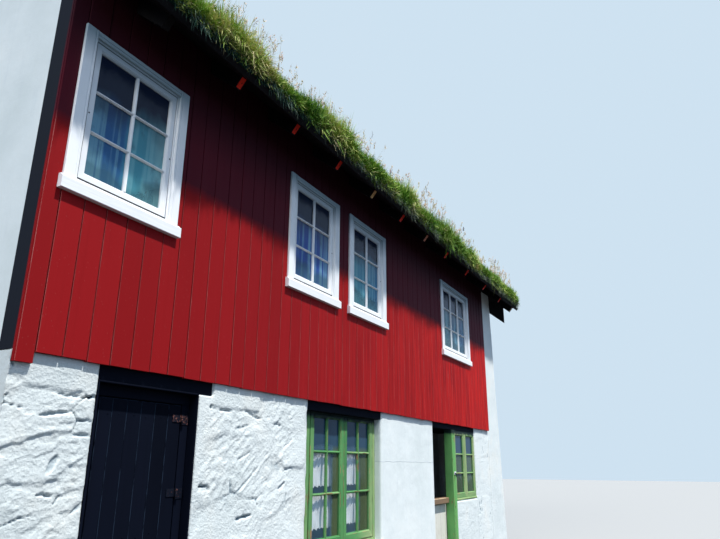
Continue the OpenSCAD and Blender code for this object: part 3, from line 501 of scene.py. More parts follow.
class Shape:
    """Points and faces of one piece, with what its finish needs: grain runs along each board in its first number,
    tone tells one board from the next, and edge is 1 on narrow bevelled faces."""

    def __init__(self, seed):
        self.rng = np.random.default_rng(seed)
        self.points, self.grain, self.tone, self.faces, self.edges = [], [], [], [], []
        self.count = 0

    def add(self, points, faces, grain=None, edges=None):
        points = np.asarray(points, float)
        self.points.append(points)
        self.grain.append(points if grain is None else np.asarray(grain, float) + self.rng.uniform(0, 40, 3))
        self.tone.append(np.full(len(points), self.rng.random()))
        self.faces += [[i + self.count for i in face] for face in faces]
        self.edges += [0.0] * len(faces) if edges is None else edges
        self.count += len(points)

    def chamfer_box(self, low, high, cut=0.003, along=None):
        """A board or block with cut edges. Its grain runs along its longest side or the axis given."""
        low, high = np.array(low, float), np.array(high, float)
        along = int(np.argmax(high - low)) if along is None else along
        corners = list(product((0, 1), repeat=3))
        points, index = [], {}
        for corner, axis in product(corners, range(3)):
            index[corner, axis] = len(points)
            inset = cut * (np.arange(3) != axis)
            points.append(np.where(corner, high - inset, low + inset))
        faces, edges = [], []
        for axis in range(3):

            def at(side, pair):
                return (*pair[:axis], side, *pair[axis:])

            a, b = (k for k in range(3) if k != axis)
            for side in (0, 1):
                faces.append([index[at(side, pair), axis] for pair in ((0, 0), (1, 0), (1, 1), (0, 1))])
                edges.append(0)
            for pair in product((0, 1), repeat=2):
                faces.append([index[at(side, pair), other] for side, other in ((0, a), (1, a), (1, b), (0, b))])
                edges.append(1)
        faces += [[index[corner, axis] for axis in range(3)] for corner in corners]
        order = [along] + [k for k in range(3) if k != along]
        self.add(points, faces, np.array(points)[:, order], edges + [1] * 8)

    def bar(self, place, start, end, across, profile, cuts=(0, 0), out=OUT):
        """A moulded bar: its profile, points (across, out), is drawn from start to end on a wall. cuts of 1 mitre
        it."""
        start, end, across, out = (np.array(v, float) for v in (start, end, across, out))
        length = np.linalg.norm(end - start)
        along = (end - start) / length
        grain = [(s, u, v) for u, v in profile for s in (cuts[0] * u, length - cuts[1] * u)]
        points = [on_wall(place, *(start + along * s + across * u + out * v)) for s, u, v in grain]
        n = len(profile)
        faces = [[2 * i, 2 * i + 1, 2 * ((i + 1) % n) + 1, 2 * ((i + 1) % n)] for i in range(n)]
        edges = [float(math.dist(profile[i], profile[(i + 1) % n]) < 0.007) for i in range(n)]
        faces += [list(range(0, 2 * n, 2)), list(range(1, 2 * n, 2))]
        self.add(points, faces, grain, edges + [0, 0])

    def surround(self, place, low, high, profile, head=None, foot=True):
        """Bars round a rectangle on a wall, from its outer edge inwards: mitred, or under a head of its own section
        between the sides, or without the bar below."""
        (u0, z0), (u1, z1) = low, high
        top = head is None
        inset = 0 if top else profile[-1][0] + 0.0005
        self.bar(place, (u0, 0, z0), (u0, 0, z1), RIGHT, profile, (foot, top))
        self.bar(place, (u1, 0, z1), (u1, 0, z0), (-1, 0, 0), profile, (top, foot))
        self.bar(place, (u0 + inset, 0, z1), (u1 - inset, 0, z1), (0, 0, -1), head or profile, (top, top))
        if foot:
            self.bar(place, (u1, 0, z0), (u0, 0, z0), HIGH, profile, (1, 1))

    def plank(self, place, outline, thick, outer):
        """A board given by its outline (right, up). Its long edges, at the two outer places, are bevelled in front
        and meet the next boards behind."""
        lift = self.rng.uniform(-0.0012, 0.0012)
        cut, tongue = 0.003, -BOARD_GAP / 2 - 0.001
        points = []
        for depth, inset in ((-thick, tongue), (-thick / 2, tongue), (0.001 - thick / 2, 0), (-cut, 0), (0, cut)):
            for u, z in outline:
                move = inset if abs(u - outer[0]) < 0.003 else -inset if abs(u - outer[1]) < 0.003 else 0
                points.append(on_wall(place, u + move, depth + lift, z))
        n = len(outline)
        faces = [[4 * n + i for i in range(n)], list(range(n))] + ring_faces(n, 4)
        grain = [(z, u, k) for k in range(5) for u, z in outline]
        self.add(points, faces, grain, [0.0] * (2 + 3 * n) + [1.0] * n)

    def disc(self, place, u, z, radius, height):
        """A nail head or a small boss on a wall."""
        n = len(EIGHTHS)
        points = [on_wall(place, u + r * math.cos(a), v, z + r * math.sin(a))
                  for r, v in ((radius, 0), (radius, height * 0.6), (radius * 0.6, height)) for a in EIGHTHS]
        self.add(points, [list(range(n)), list(range(2 * n, 3 * n))] + ring_faces(n, 2))

    def piece(self, name, material, replaces=(), body="house"):
        mesh = make_mesh(name, np.concatenate(self.points), self.faces)
        give_values(mesh, "grain", np.concatenate(self.grain), "FLOAT_VECTOR")
        give_values(mesh, "tone", np.concatenate(self.tone))
        give_values(mesh, "edge", self.edges, domain="FACE")
        work = bmesh.new()
        work.from_mesh(mesh)
        bmesh.ops.recalc_face_normals(work, faces=work.faces)
        work.to_mesh(mesh)
        work.free()
        dress(mesh, name, material, replaces, body)


# Noise for the shapes, the same on every run

def hashed(ix, iy, iz, seed):
    h = (ix * 73856093) ^ (iy * 19349663) ^ (iz * 83492791) ^ (seed * 2654435761)
    h = h & 0xFFFFFFFF
    h = ((h ^ (h >> 15)) * 2246822519) & 0xFFFFFFFF
    h = ((h ^ (h >> 13)) * 3266489917) & 0xFFFFFFFF
    return ((h ^ (h >> 16)) & 0xFFFFFF) / 0xFFFFFF


def lattice_noise(p, scale, seed):
    """Smooth noise from -1 to 1, with one feature for each length of scale."""
    q = p / scale
    cell = np.floor(q).astype(np.int64)
    f = q - cell
    f = f * f * (3 - 2 * f)
    total = 0
    for corner in product((0, 1), repeat=3):
        weight = np.abs(1 - np.array(corner) - f).prod(axis=1)
        total = total + weight * hashed(*(cell + corner).T, seed)
    return total * 2 - 1


def layered_noise(p, scale, seed, layers=3):
    """Noise in layers, each half as wide and half as high as the one before."""
    return sum(lattice_noise(p, scale / 2 ** i, seed + i) / 2 ** i for i in range(layers)) / (2 - 0.5 ** (layers - 1))


def step(value, low, high):
    """A soft step from 0 at low to 1 at high."""
    t = np.clip((value - low) / (high - low), 0, 1)
    return t * t * (3 - 2 * t)


def rotated(u, z, degrees):
    a = math.radians(degrees)
    return u * math.cos(a) + z * math.sin(a), z * math.cos(a) - u * math.sin(a)


def slabs(p, turn, sizes, seed, lift, lean, soft):
    """Height of flat stone faces that meet in low steps, and the distance to the step. turn gives how far the stones'
    courses are turned, bent and how finely, with a seed. Each stone has its own level, leans a little to one side and
    stands back towards its top; soft is how far lime rounds the steps off."""
    degrees, warp, scale, warp_seed = turn
    u = p[:, 0] + p[:, 1] + warp * layered_noise(p, scale, warp_seed)
    u, z = rotated(u, p[:, 2] + warp * layered_noise(p + 9, scale, warp_seed), degrees)
    q = np.stack([u / sizes[0], z / sizes[1]], 1)
    cell = np.floor(q).astype(np.int64)
    away, level = [], []
    for dx, dz in product((-1, 0, 1), repeat=2):
        cx, cz = cell[:, 0] + dx, cell[:, 1] + dz
        r = [hashed(cx, cz, cx * 0 + 1, seed + k) for k in range(5)]
        du, dw = q[:, 0] - cx - 0.1 - 0.8 * r[0], q[:, 1] - cz - 0.1 - 0.8 * r[1]
        away.append(np.hypot(du, dw))
        level.append(lift * (2 * r[2] - 1) + lean[0] * (2 * r[3] - 1) * du * sizes[0]
                     - lean[1] * (1.3 * r[4] - 0.3) * dw * sizes[1])
    away, level = np.array(away), np.array(level)
    near = np.sort(away, axis=0)
    weight = np.exp((near[0] - away) / soft)
    return (weight * level).sum(0) / weight.sum(0), near[1] - near[0]


def marked(p, height, hollow_shade, marks, calm):
    """Adds the wall's own ledges and slits (place, half sizes, turn, depth) and its calm patch (from, to, lift)."""
    face = np.abs(p[:, 1] - STONE) < 0.01
    x0, x1, z0, z1, lift = calm
    share = (step(p[:, 0], x0 - 0.02, x0 + 0.02) * (1 - step(p[:, 0], x1 - 0.02, x1 + 0.02))
             * step(p[:, 2], z0 - 0.01, z0 + 0.012) * (1 - step(p[:, 2], z1 - 0.02, z1 + 0.02)) * face)
    height = height * (1 - 0.8 * share) + lift * share
    hollow_shade = hollow_shade * (1 - share)
    bent = 0.012 * layered_noise(p, 0.06, 61)
    for x, z, half_u, half_z, degrees, depth in marks:
        u, w = rotated(p[:, 0] - x, p[:, 2] - z, degrees)
        cut = step(1 - (u / half_u) ** 2 - ((w + bent) / half_z) ** 2, 0, 0.6) * face
        height = height - depth * cut
        hollow_shade = np.maximum(hollow_shade, min(1, 34 * depth) * cut)
    return height, hollow_shade


def rubble(p):
    """Height of whitewashed rubble over the wall's plane, and how much painted shade each point gets for lying deep,
    from 0 to 1.
    """
    rough = p + 0.010 * np.stack([lattice_noise(p, 0.045, 96), 0 * p[:, 0], lattice_noise(p, 0.045, 97)], 1)
    face, joint = slabs(rough, (5, 0.045, 0.22, 11), (0.38, 0.145), 3, 0.0040, (0.03, 0.065), 0.022)
    chips, _ = slabs(rough, (9, 0.014, 0.07, 14), (0.125, 0.052), 31, 0.0030, (0.06, 0.13), 0.045)
    flakes, _ = slabs(rough, (9, 0.014, 0.07, 14), (0.042, 0.024), 41, 0.0011, (0.06, 0.12), 0.08)
    height = face + chips + flakes + 0.0010 * layered_noise(p, 0.03, 71, 2)
    slit = (1 - step(joint, 0.0, 0.04)) * step(lattice_noise(p, 0.10, 91), 0.30, 0.45)
    height -= 0.020 * slit
    hollow_shade = np.clip(0.35 * step(-height, 0.004, 0.018) + 0.95 * slit, 0, 1)
    return np.clip(height, -0.045, 0.02), hollow_shade


def left_rubble(p):
    """The short wall at the party line, with the slits that the photograph shows."""
    height, hollow_shade = rubble(p)
    marks = [(0.535, 1.860, 0.050, 0.011, 2, 0.030), (0.375, 1.857, 0.13, 0.007, -3, 0.011),
             (0.295, 1.752, 0.11, 0.011, 8, 0.017), (0.50, 1.643, 0.09, 0.009, -2, 0.015),
             (0.33, 1.490, 0.065, 0.024, 57, 0.014), (0.31, 1.338, 0.06, 0.009, -8, 0.016),
             (0.53, 1.270, 0.06, 0.013, 40, 0.013), (0.56, 1.780, 0.04, 0.009, -50, 0.012)]
    return marked(p, 0.75 * height, 0.8 * hollow_shade, marks, (0.10, 0.57, 1.885, 2.2, 0.003))


def pier_rubble(p):
    """The pier beside the door: flatter, dabbed all over, with smooth bands along its edges."""
    face, joint = slabs(p, (12, 0.05, 0.25, 15), (0.42, 0.24), 13, 0.0035, (0.03, 0.05), 0.06)
    dabs, _ = slabs(p, (40, 0.012, 0.08, 17), (0.080, 0.032), 33, 0.0026, (0.08, 0.15), 0.08)
    flakes, _ = slabs(p, (40, 0.012, 0.08, 17), (0.030, 0.017), 43, 0.0011, (0.08, 0.14), 0.10)
    calm = np.minimum(step(p[:, 0], DOOR_RIGHT + 0.035, DOOR_RIGHT + 0.10),
                      1 - step(p[:, 0], GREEN_LEFT - 0.38, GREEN_LEFT - 0.28))
    calm = 0.10 + 0.90 * calm * step(lattice_noise(p, 0.35, 19), -0.9, 0.1)
    height = face + calm * (dabs + flakes + 0.0015 * layered_noise(p, 0.04, 71, 2))
    nick = (1 - step(joint, 0.0, 0.05)) * step(lattice_noise(p, 0.15, 93), 0.42, 0.6) * calm
    hollow_shade = np.clip(0.5 * step(-height, 0.003, 0.013) + 0.8 * nick, 0, 1)
    height -= 0.014 * nick
    marks = [(1.525, 1.347, 0.055, 0.011, 0, 0.030), (1.54, 1.325, 0.08, 0.016, 0, 0.008),
             (1.554, 1.882, 0.014, 0.010, 0, 0.030), (1.71, 1.875, 0.075, 0.008, 0, 0.014),
             (2.09, 1.850, 0.10, 0.008, -5, 0.012), (2.01, 1.116, 0.115, 0.010, 6, 0.024),
             (2.48, 1.322, 0.060, 0.012, 22, 0.020)]
    return marked(p, np.clip(height, -0.03, 0.018), hollow_shade, marks, (1.56, 2.13, 1.888, 2.2, 0.007))


def soft_rubble(p):
    """The same rubble under a thicker coat."""
    rise, hollow_shade = rubble(p)
    pocks = step(lattice_noise(p, 0.035, 99), 0.62, 0.8) * step(lattice_noise(p, 0.25, 98), 0.0, 0.4)
    return 0.22 * rise - 0.006 * pocks, np.maximum(0.3 * hollow_shade, 0.8 * pocks)


def render_coat(p):
    """The smooth pier's coat, with no painted shade in it."""
    return 0.004 * layered_noise(p, 0.5, 21) + 0.0012 * layered_noise(p, 0.09, 25), np.zeros(len(p))


def held(height):
    """The same wall, calmer beside its openings and drawn in on its jambs, so that no stone comes through the
    wood."""
    jambs = (DOOR_LEFT, DOOR_RIGHT, GREEN_RIGHT, DOORWAY, SIDE[1][0])

    def made(p):
        rise, hollow_shade = height(p)
        near = np.min([np.abs(p[:, 0] - x) for x in jambs], axis=0)
        calm = 0.3 + 0.7 * step(near, 0.0, 0.07)
        inside = p[:, 1] > STONE + 0.015
        return (np.where(inside, np.minimum(0.3 * rise, -0.002), rise * calm),
                np.where(inside, 0, hollow_shade * step(near, 0.0, 0.03)))

    return made


# Masonry

# Spacing of the points on the back wall and the gable
COARSE = 0.034


def lines(*stops):
    """Places from stop to stop: each stop after the first is (place, spacing)."""
    made = [stops[0]]
    for place, spacing in stops[1:]:
        n = max(1, round(abs(place - made[-1]) / spacing))
        made += list(np.linspace(made[-1], place, n + 1)[1:])
    return np.array(made)


def stone_block(name, material, path, top, spacing, height, node, rounding=0.028, free=(None, None), crown=0.0,
                notch=None, outer=None, splay=None):
    """A wall drawn from its plan path, which runs round its outer faces, and closed behind and at both ends. The path
    has x, y, the direction away, the number of its corner and whether it is that corner itself. free gives for the
    two corners the height from which each stands free and is rounded. outer gives the plan's far side at a height for
    a leaning wall, notch the box in which the face stands back, and splay the place, slope and height from which the
    face turns back at its right-hand end."""
    zs = lines(0, (top, spacing))
    path = np.array(path, float)
    plan, corner = path[:, :2], path[:, 4]
    n, m = len(path), len(zs)
    base, away = np.zeros((m, n, 3)), np.zeros((m, n, 3))
    base[:, :, :2] = plan
    base[:, :, 2] = zs[:, None]
    away[:, :, :2] = path[:, 2:4]
    if outer:
        low = plan[:, 0].min()
        base[:, :, 0] = low + (plan[:, 0] - low) * ((outer(zs) - low) / np.ptp(plan[:, 0]))[:, None]
    points = base.copy()
    for number, start in enumerate(free, 1):
        if start is None:
            continue
        own = np.nonzero((corner == number) & (path[:, 5] > 0))[0][0]
        sign = np.where(plan.mean(0) > plan[own], 1.0, -1.0)
        for k, z in enumerate(zs):
            radius = rounding * float(step(z, start, start + 0.03)) if start > 0 else rounding
            if radius <= 1e-4:
                continue
            heart = base[k, own, :2] + sign * radius
            reach = points[k, :, :2] - heart
            inside = (corner == number) & (reach * sign < 1e-9).all(axis=1)
            reach = reach[inside] / np.linalg.norm(reach[inside], axis=1)[:, None]
            away[k, inside, :2] = reach
            points[k, inside, :2] = heart + reach * radius
    points, away = points.reshape(-1, 3), away.reshape(-1, 3)
    if splay:
        start, slope, from_z = splay
        soft, end = 0.035, plan[:, 0].max()
        share = step(points[:, 2], from_z - 0.004, from_z + 0.012)
        on_end = np.tile((plan[:, 0] > end - 1e-6) & (plan[:, 1] > STONE + 1e-6), m)
        d = points[:, 0] - start
        bend = np.where(d < -soft, 0, np.where(d < soft, (d + soft) ** 2 / (4 * soft), d)) * slope
        back = (end - start) * slope * (STONE_IN - points[:, 1]) / (STONE_IN - STONE)
        points[:, 1] += share * np.where(on_end, back, bend)
        lean = share * step(d, -soft, soft) * slope
        on_side = on_end | (np.abs(away[:, 1]) < 1e-6)
        away[:, 0] = np.where(on_side, away[:, 0], away[:, 0] * (1 - share) + lean)
        away /= np.linalg.norm(away, axis=1)[:, None]
    rise, hollow_shade = height(base.reshape(-1, 3))
    if crown:
        near = np.clip(1 - (top - points[:, 2]) / crown, 0, 1)
        rise = rise - crown * 0.9 * (1 - np.sqrt(np.clip(1 - near ** 2, 0, 1)))
    if notch:
        low, high = notch
        inside = (points[:, 0] > low[0]) & (points[:, 0] < high) & (points[:, 2] > low[1])
        rise = np.where(inside & (points[:, 1] < STONE + 0.1), -0.03, rise)
    grid = np.arange(m * n).reshape(m, n)
    faces = quads(closed(grid)).tolist() + [grid[0, ::-1].tolist(), grid[-1].tolist()]
    mesh = make_mesh(name, points + away * rise[:, None], faces)
    give_values(mesh, "recess_shade_and_sod_edge", hollow_shade)
    dress(mesh, name, material, [node], smooth=True)


def front_path(x0, x1, spacing, depths=(0.012, 0.07)):
    """Plan path of a front wall: in along its left side, across its face and back along its right side."""
    ys = lines(STONE_IN, (STONE + 0.2, depths[1]), (STONE, depths[0]))[:-1]
    xs = lines(x0, (x1, spacing))
    half = len(xs) // 2
    path = [(x0, y, -1, 0, 1, False) for y in ys] + [(x0, STONE, -0.7, -0.7, 1, True)]
    path += [(x, STONE, 0, -1, 1 if i < half else 2, False) for i, x in enumerate(xs[1:-1])]
    return path + [(x1, STONE, 0.7, -0.7, 2, True)] + [(x1, y, 1, 0, 2, False) for y in ys[::-1]]


def masonry():
    def wall(name, node, low, high, top, spacing, height, material="limewash", **more):
        stone_block(name, material, front_path(low, high, spacing), top, spacing, held(height), node, **more)

    wall("stones_left", "cellar_wall_left", 0, DOOR_LEFT, WALL_TOP, 0.008, left_rubble, rounding=0.018,
         free=(None, 0), crown=0.008)
    splay = (box("green_window_lintel")[0][0] + 0.003, (GREEN_FACE - STONE) / SPLAY_W, GREEN_SILL)
    wall("stones_pier", "rough_pier", DOOR_RIGHT, GREEN_LEFT, WALL_TOP, 0.0105, pier_rubble, rounding=0.022,
         free=(0, None), crown=0.008, notch=((DOOR_RIGHT, HEAD), LINTEL_END), splay=splay)
    wall("stones_under_window", "wall_under_green_window", GREEN_LEFT, GREEN_RIGHT, GREEN_SILL, 0.013, rubble,
         crown=0.02)
    wall("render_pier", "smooth_pier", GREEN_RIGHT, DOORWAY, WALL_TOP, 0.03, render_coat, "smooth", rounding=0.035,
         free=(GREEN_SILL, 0), crown=0.008)
    low, high = box("wall_under_side_window")
    wall("stones_under_side_window", "wall_under_side_window", low[0], high[0], high[2], 0.014, soft_rubble,
         crown=0.02)
    low, high = box("cellar_wall_right")
    wall("stones_right", "cellar_wall_right", low[0], high[0], WALL_TOP, 0.014, soft_rubble,
         free=(SIDE[0][2], None), crown=0.008)
    front = front_path(0, GABLE_IN, COARSE, (0.05, 0.2))
    back = [(x, -y, right, -away, 3 - number, own) for x, y, right, away, number, own in front][::-1]
    stone_block("stones_back", "limewash", back, WALL_TOP, COARSE, rubble, "cellar_back_wall", crown=0.01)
    gable_stones()


def gable_stones():
    """The stone gable, whose outer face leans in from the ground up to the plates."""
    top_x = GABLE_BOARDS[0][0] - 0.030
    ys = lines(STONE, (-STONE, COARSE))[1:-1]
    xs = lines(GABLE_IN, (GABLE_FOOT, 0.022))[:-1]
    middle = (len(ys) + 2) // 2
    path = [(x, STONE, 0, -1, 1, False) for x in xs] + [(GABLE_FOOT, STONE, 0.7, -0.7, 1, True)]
    path += [(GABLE_FOOT, y, 1, 0, 1 if i < middle else 2, False) for i, y in enumerate(ys)]
    path += [(GABLE_FOOT, -STONE, 0.7, 0.7, 2, True)] + [(x, -STONE, 0, 1, 2, False) for x in xs[::-1]]

    def height(p):
        rise, hollow_shade = rubble(p)
        calm = 0.25 + 0.75 * step(p[:, 1], STONE + 0.1, STONE + 0.9)
        return calm * rise, calm * hollow_shade

    stone_block("stone_gable_stones", "limewash", path, PLATE, COARSE, height, "stone_gable", rounding=0.025,
                free=(0, 0), crown=0.01, outer=lambda z: np.interp(z, [0, PLATE], [GABLE_FOOT, top_x]))


# Red boards

CASING, HEAD_CASING = 0.088, 0.050
CASING_T, CASING_LAP = 0.018, 0.018
WINDOW_W, _, WINDOW_H = box("window_1")[1] - box("window_1")[0]
SILL_END, SILL_H, SILL_FALL = 0.020, 0.087, 0.012
FRAME_T = 0.030
SASH_GAP, SASH_BACK = 0.004, 0.006
STILE, BAR, RAIL = 0.050, 0.026, 0.018
FRONT_PLACE = front_at(FRONT)
BACK_PLACE = wall_place((0, BACK, 0), RIGHT, OUT)
GABLE_PLACE = wall_place((GABLE_BOARDS[1][0], 0, 0), OUT, RIGHT)
FRONT_WINDOWS = ("window_1", "window_2", "window_3", "wide_window")
# How far one board differs from the next in width and at its foot, and how far its edges wander
WIDTH_PLAY, FOOT_PLAY, EDGE_PLAY = 0.006, 0.003, 0.0011


def back_window_starts():
    low, high = box("back_windows")
    return [low[0] + i * (high[0] - low[0] - WINDOW_W) / 2 for i in range(3)]


def window_hole(low_u, high_u, z):
    """The hole that the boards leave for a window between two places, with its sill's underside at z."""
    inset = SILL_END + CASING - CASING_LAP
    return low_u + inset, high_u - inset, z + SILL_H - SILL_FALL, z + WINDOW_H - HEAD_CASING + CASING_LAP


def outlines(u0, u1, z0, z1, holes):
    """What is left of a board from (u0, z0) to the heights z1 at its two edges, round the window holes."""
    foot, top = [(u0, z0), (u1, z0)], [(u1, z1[1]), (u0, z1[0])]
    for a, b, low, high in holes:
        if b <= u0 + 0.002 or a >= u1 - 0.002 or low > min(z1):
            continue
        if a <= u0 + 0.002 and b >= u1 - 0.002:
            return [foot + [(u1, low), (u0, low)], [(u0, high), (u1, high)] + top]
        if a > u0:
            return [foot + [(u1, low), (a, low), (a, high), (u1, high)] + top]
        return [foot + top + [(u0, high), (b, high), (b, low), (u0, low)]]
    return [foot + top]


def waved(outline, outer, rng):
    """The long edges of a board wander a little."""
    made = []
    for (u, z), (u2, z2) in zip(outline, outline[1:] + outline[:1]):
        made.append((u, z))
        if abs(u - u2) < 1e-6 and min(abs(u - outer[0]), abs(u - outer[1])) < 1e-6:
            n = int(abs(z2 - z) / 0.35)
            made += [(u + rng.uniform(-EDGE_PLAY, EDGE_PLAY), z + (z2 - z) * k / n) for k in range(1, n)]
    return made


def boarding(shape, place, start, end, low, top, holes=()):
    """Upright boards side by side. low and top give the height of their two ends at a place."""
    u = start
    while u < end - 0.02:
        width = BOARD_W + shape.rng.uniform(-WIDTH_PLAY, WIDTH_PLAY)
        u2 = end if u + width > end - 0.05 else u + width
        a, b = u + BOARD_GAP / 2, u2 - BOARD_GAP / 2
        drop = shape.rng.uniform(-FOOT_PLAY, FOOT_PLAY)
        for outline in outlines(a, b, low((a + b) / 2) + drop, (top(a), top(b)), holes):
            shape.plank(place, waved(outline, (a, b), shape.rng), CORE - FRONT, (a, b))
        u = u2


def red_boards():
    boxes = [box(node) for node in FRONT_WINDOWS]
    left_low = CORNER[0][2] + 0.060
    shape = Shape(5)
    boarding(shape, FRONT_PLACE, CORNER[1][0], GABLE_IN, lambda u: np.interp(u, [0, GABLE_IN], [left_low, BOARD_LOW]),
             lambda u: BOARD_TOP, [window_hole(low[0], high[0], low[2]) for low, high in boxes])
    shape.piece("boards_front", "red", ["front_boards"])
    shape = Shape(6)
    a, b = CORNER[0][0] + BOARD_GAP / 2, CORNER[1][0] - BOARD_GAP / 2
    outline = [(a, CORNER[0][2]), (b, CORNER[0][2]), (b, BOARD_TOP), (a, BOARD_TOP)]
    shape.plank(FRONT_PLACE, waved(outline, (a, b), shape.rng), CORE - FRONT, (a, b))
    shape.piece("board_at_party_line", "red", ["low_corner_board"])
    shape = Shape(7)
    z = box("back_windows")[0][2]
    boarding(shape, BACK_PLACE, 0, GABLE_IN, lambda u: BOARD_LOW, lambda u: BOARD_TOP,
             [window_hole(u, u + WINDOW_W, z) for u in back_window_starts()])
    shape.piece("boards_back", "red", ["back_boards"])
    shape = Shape(8)
    low, high = box("attic_window")
    foot, apex = GABLE_BOARDS[0][2], GABLE_BOARDS[1][2]
    for start, end in ((FRONT, 0), (0, BACK)):
        boarding(shape, GABLE_PLACE, start, end, lambda u: foot, lambda u: apex - abs(u) * SLOPE,
                 [window_hole(low[1], high[1], low[2])])
    shape.piece("boards_gable", "red", ["gable_boards"])


# White windows

def casing_profile(width):
    """Section of a casing board with a bead along its inner edge."""
    t = CASING_T
    return [(0, 0), (0, t - 0.003), (0.003, t), (width - 0.024, t), (width - 0.021, t - 0.004),
            (width - 0.018, t - 0.004), (width - 0.015, t), (width - 0.004, t), (width, t - 0.004), (width, 0)]


FRAME_PROFILE = [(0, -0.145), (0, 0), (FRAME_T - 0.002, 0), (FRAME_T, -0.002), (FRAME_T, -0.145)]
SASH_PROFILE = [(0, -0.046), (0, -0.008), (0.002, -0.006), (0.036, -0.006), (0.038, -0.009), (0.042, -0.009),
                (STILE, -0.018), (STILE, -0.046)]
SILL_PROFILE = [(0, 0), (0.033, 0), (0.036, 0.003), (0.036, 0.071), (0.032, 0.075), (0.020, 0.081), (0.018, 0.087),
                (0, 0.087)]


def nose(width, depth, back):
    """Section of a glazing bar: a rounded front that widens towards the glass."""
    left = [(-0.5, -depth), (-0.5, -depth * 0.55), (-0.225, -0.002), (-0.125, 0)]
    return [(u * width, v - back) for u, v in left + [(-u, v) for u, v in left[::-1]]]


def bars(shape, place, low, high, cols, rows, upright, level, back, depth=0.022, row_h=None):
    """Glazing bars of a leaf, whose glass reaches from low to high. row_h is the height of a row from below."""
    (u0, z0), (u1, z1) = low, high
    for i in range(1, cols):
        u = u0 + (u1 - u0) * i / cols
        shape.bar(place, (u, 0, z0), (u, 0, z1), RIGHT, nose(upright, depth, back))
    for i in range(1, rows):
        z = z0 + i * (row_h or (z1 - z0) / rows)
        shape.bar(place, (u0, 0, z), (u1, 0, z), HIGH, nose(level, depth, back + 0.001))


def white_window(shape, joints, nails, place, u0, u1, z, cols, wear_and_painted_light=0.003):
    """A window over its casings and sill, from u0 to u1, with its sill's underside at z. Dark strips of painted shade
    go into the gaps round its sash; its last number is the width of the one that lies over the frame beside the joint
    on the left."""
    a, b = u0 + SILL_END, u1 - SILL_END
    shape.bar(place, (u0, 0, z), (u1, 0, z), OUT, SILL_PROFILE, out=HIGH)
    shape.surround(place, (a, z + SILL_H - 0.004), (b, z + WINDOW_H), casing_profile(CASING),
                   casing_profile(HEAD_CASING), foot=False)
    left, right, low, high = window_hole(u0, u1, z)
    shape.surround(place, (left, low), (right, high), FRAME_PROFILE)
    inset = FRAME_T + SASH_GAP
    left, right, low, high = left + inset, right - inset, low + inset + 0.006, high - inset
    shape.surround(place, (left, low), (right, high), SASH_PROFILE)
    # Painted shade: dark strips in the gaps round the sash, over the frame's edge on its left and under the sash
    gap, deep = -SASH_GAP, -0.030
    joints.surround(place, (left, low), (right, high), [(gap, deep), (gap, -0.012), (0, -0.012), (0, deep)])
    joints.bar(place, (left, 0, low), (left, 0, high), RIGHT,
               [(gap - wear_and_painted_light, deep), (gap - wear_and_painted_light, 0.0006), (gap, 0.0006), (0, -0.006), (0, deep)])
    foot = low - 0.006 - SASH_GAP
    joints.bar(place, (left, 0, foot), (right, 0, foot), HIGH, [(0, deep), (0, -0.001), (0.009, -0.001), (0.009, deep)])
    bars(shape, place, (left + STILE, low + STILE), (right - STILE, high - STILE), cols, 3, BAR, RAIL, SASH_BACK)
    face = (place[0] - place[2] * SASH_BACK, place[1], place[2])
    for u in (left + 0.012, right - 0.012):
        nails.disc(face, u, (low + high) / 2 - 0.03, 0.005, 0.003)


def white_windows():
    nails, joints = Shape(20), Shape(21)
    for node in FRONT_WINDOWS:
        low, high = box(node)
        cols = 3 if node == "wide_window" else 2
        shape = Shape(len(node) + cols)
        white_window(shape, joints, nails, FRONT_PLACE, low[0], high[0], low[2], cols,
                     0.010 if node == "window_1" else 0.003)
        shape.piece(node + "_joinery", "white", [node])
    shape = Shape(31)
    z = box("back_windows")[0][2]
    for u in back_window_starts():
        white_window(shape, joints, nails, BACK_PLACE, u, u + WINDOW_W, z, 2)
    shape.piece("back_windows_joinery", "white", ["back_windows"])
    low, high = box("attic_window")
    shape = Shape(32)
    white_window(shape, joints, nails, GABLE_PLACE, low[1], high[1], low[2], 2)
    shape.piece("attic_window_joinery", "white", ["attic_window"])
    nails.piece("sash_nails", "rust")
    # The dark strips in the sashes' gaps are painted shade
    joints.piece("sash_gap_painted_shade", "tar")


# Green windows and post

def leaf_profile(width, thick, cut=0.004):
    """Section of a green leaf's or frame's bar, bevelled outside and moulded towards the glass."""
    return [(0, -thick), (0, -cut), (cut, 0), (width - 0.012, 0), (width - 0.009, -0.004), (width, -0.010),
            (width, -thick)]


GREEN_FRAME, GREEN_HEAD = 0.062, 0.020
GREEN_STILE, GREEN_TOP = 0.072, 0.030
GREEN_BAR, GREEN_RAIL = 0.030, 0.025
GREEN_ROW = 0.380
GREEN_LEAF_T = 0.048
LATCH_LOW, LATCH_HIGH = 1.352, 1.392
BOLT_R, BOLT_Z = 0.045, 1.328


def leaves(left, right):
    """The two leaves between left and right, with a joint between them."""
    middle = (left + right) / 2
    return (left, middle - LEAF_GAP / 2), (middle + LEAF_GAP / 2, right)


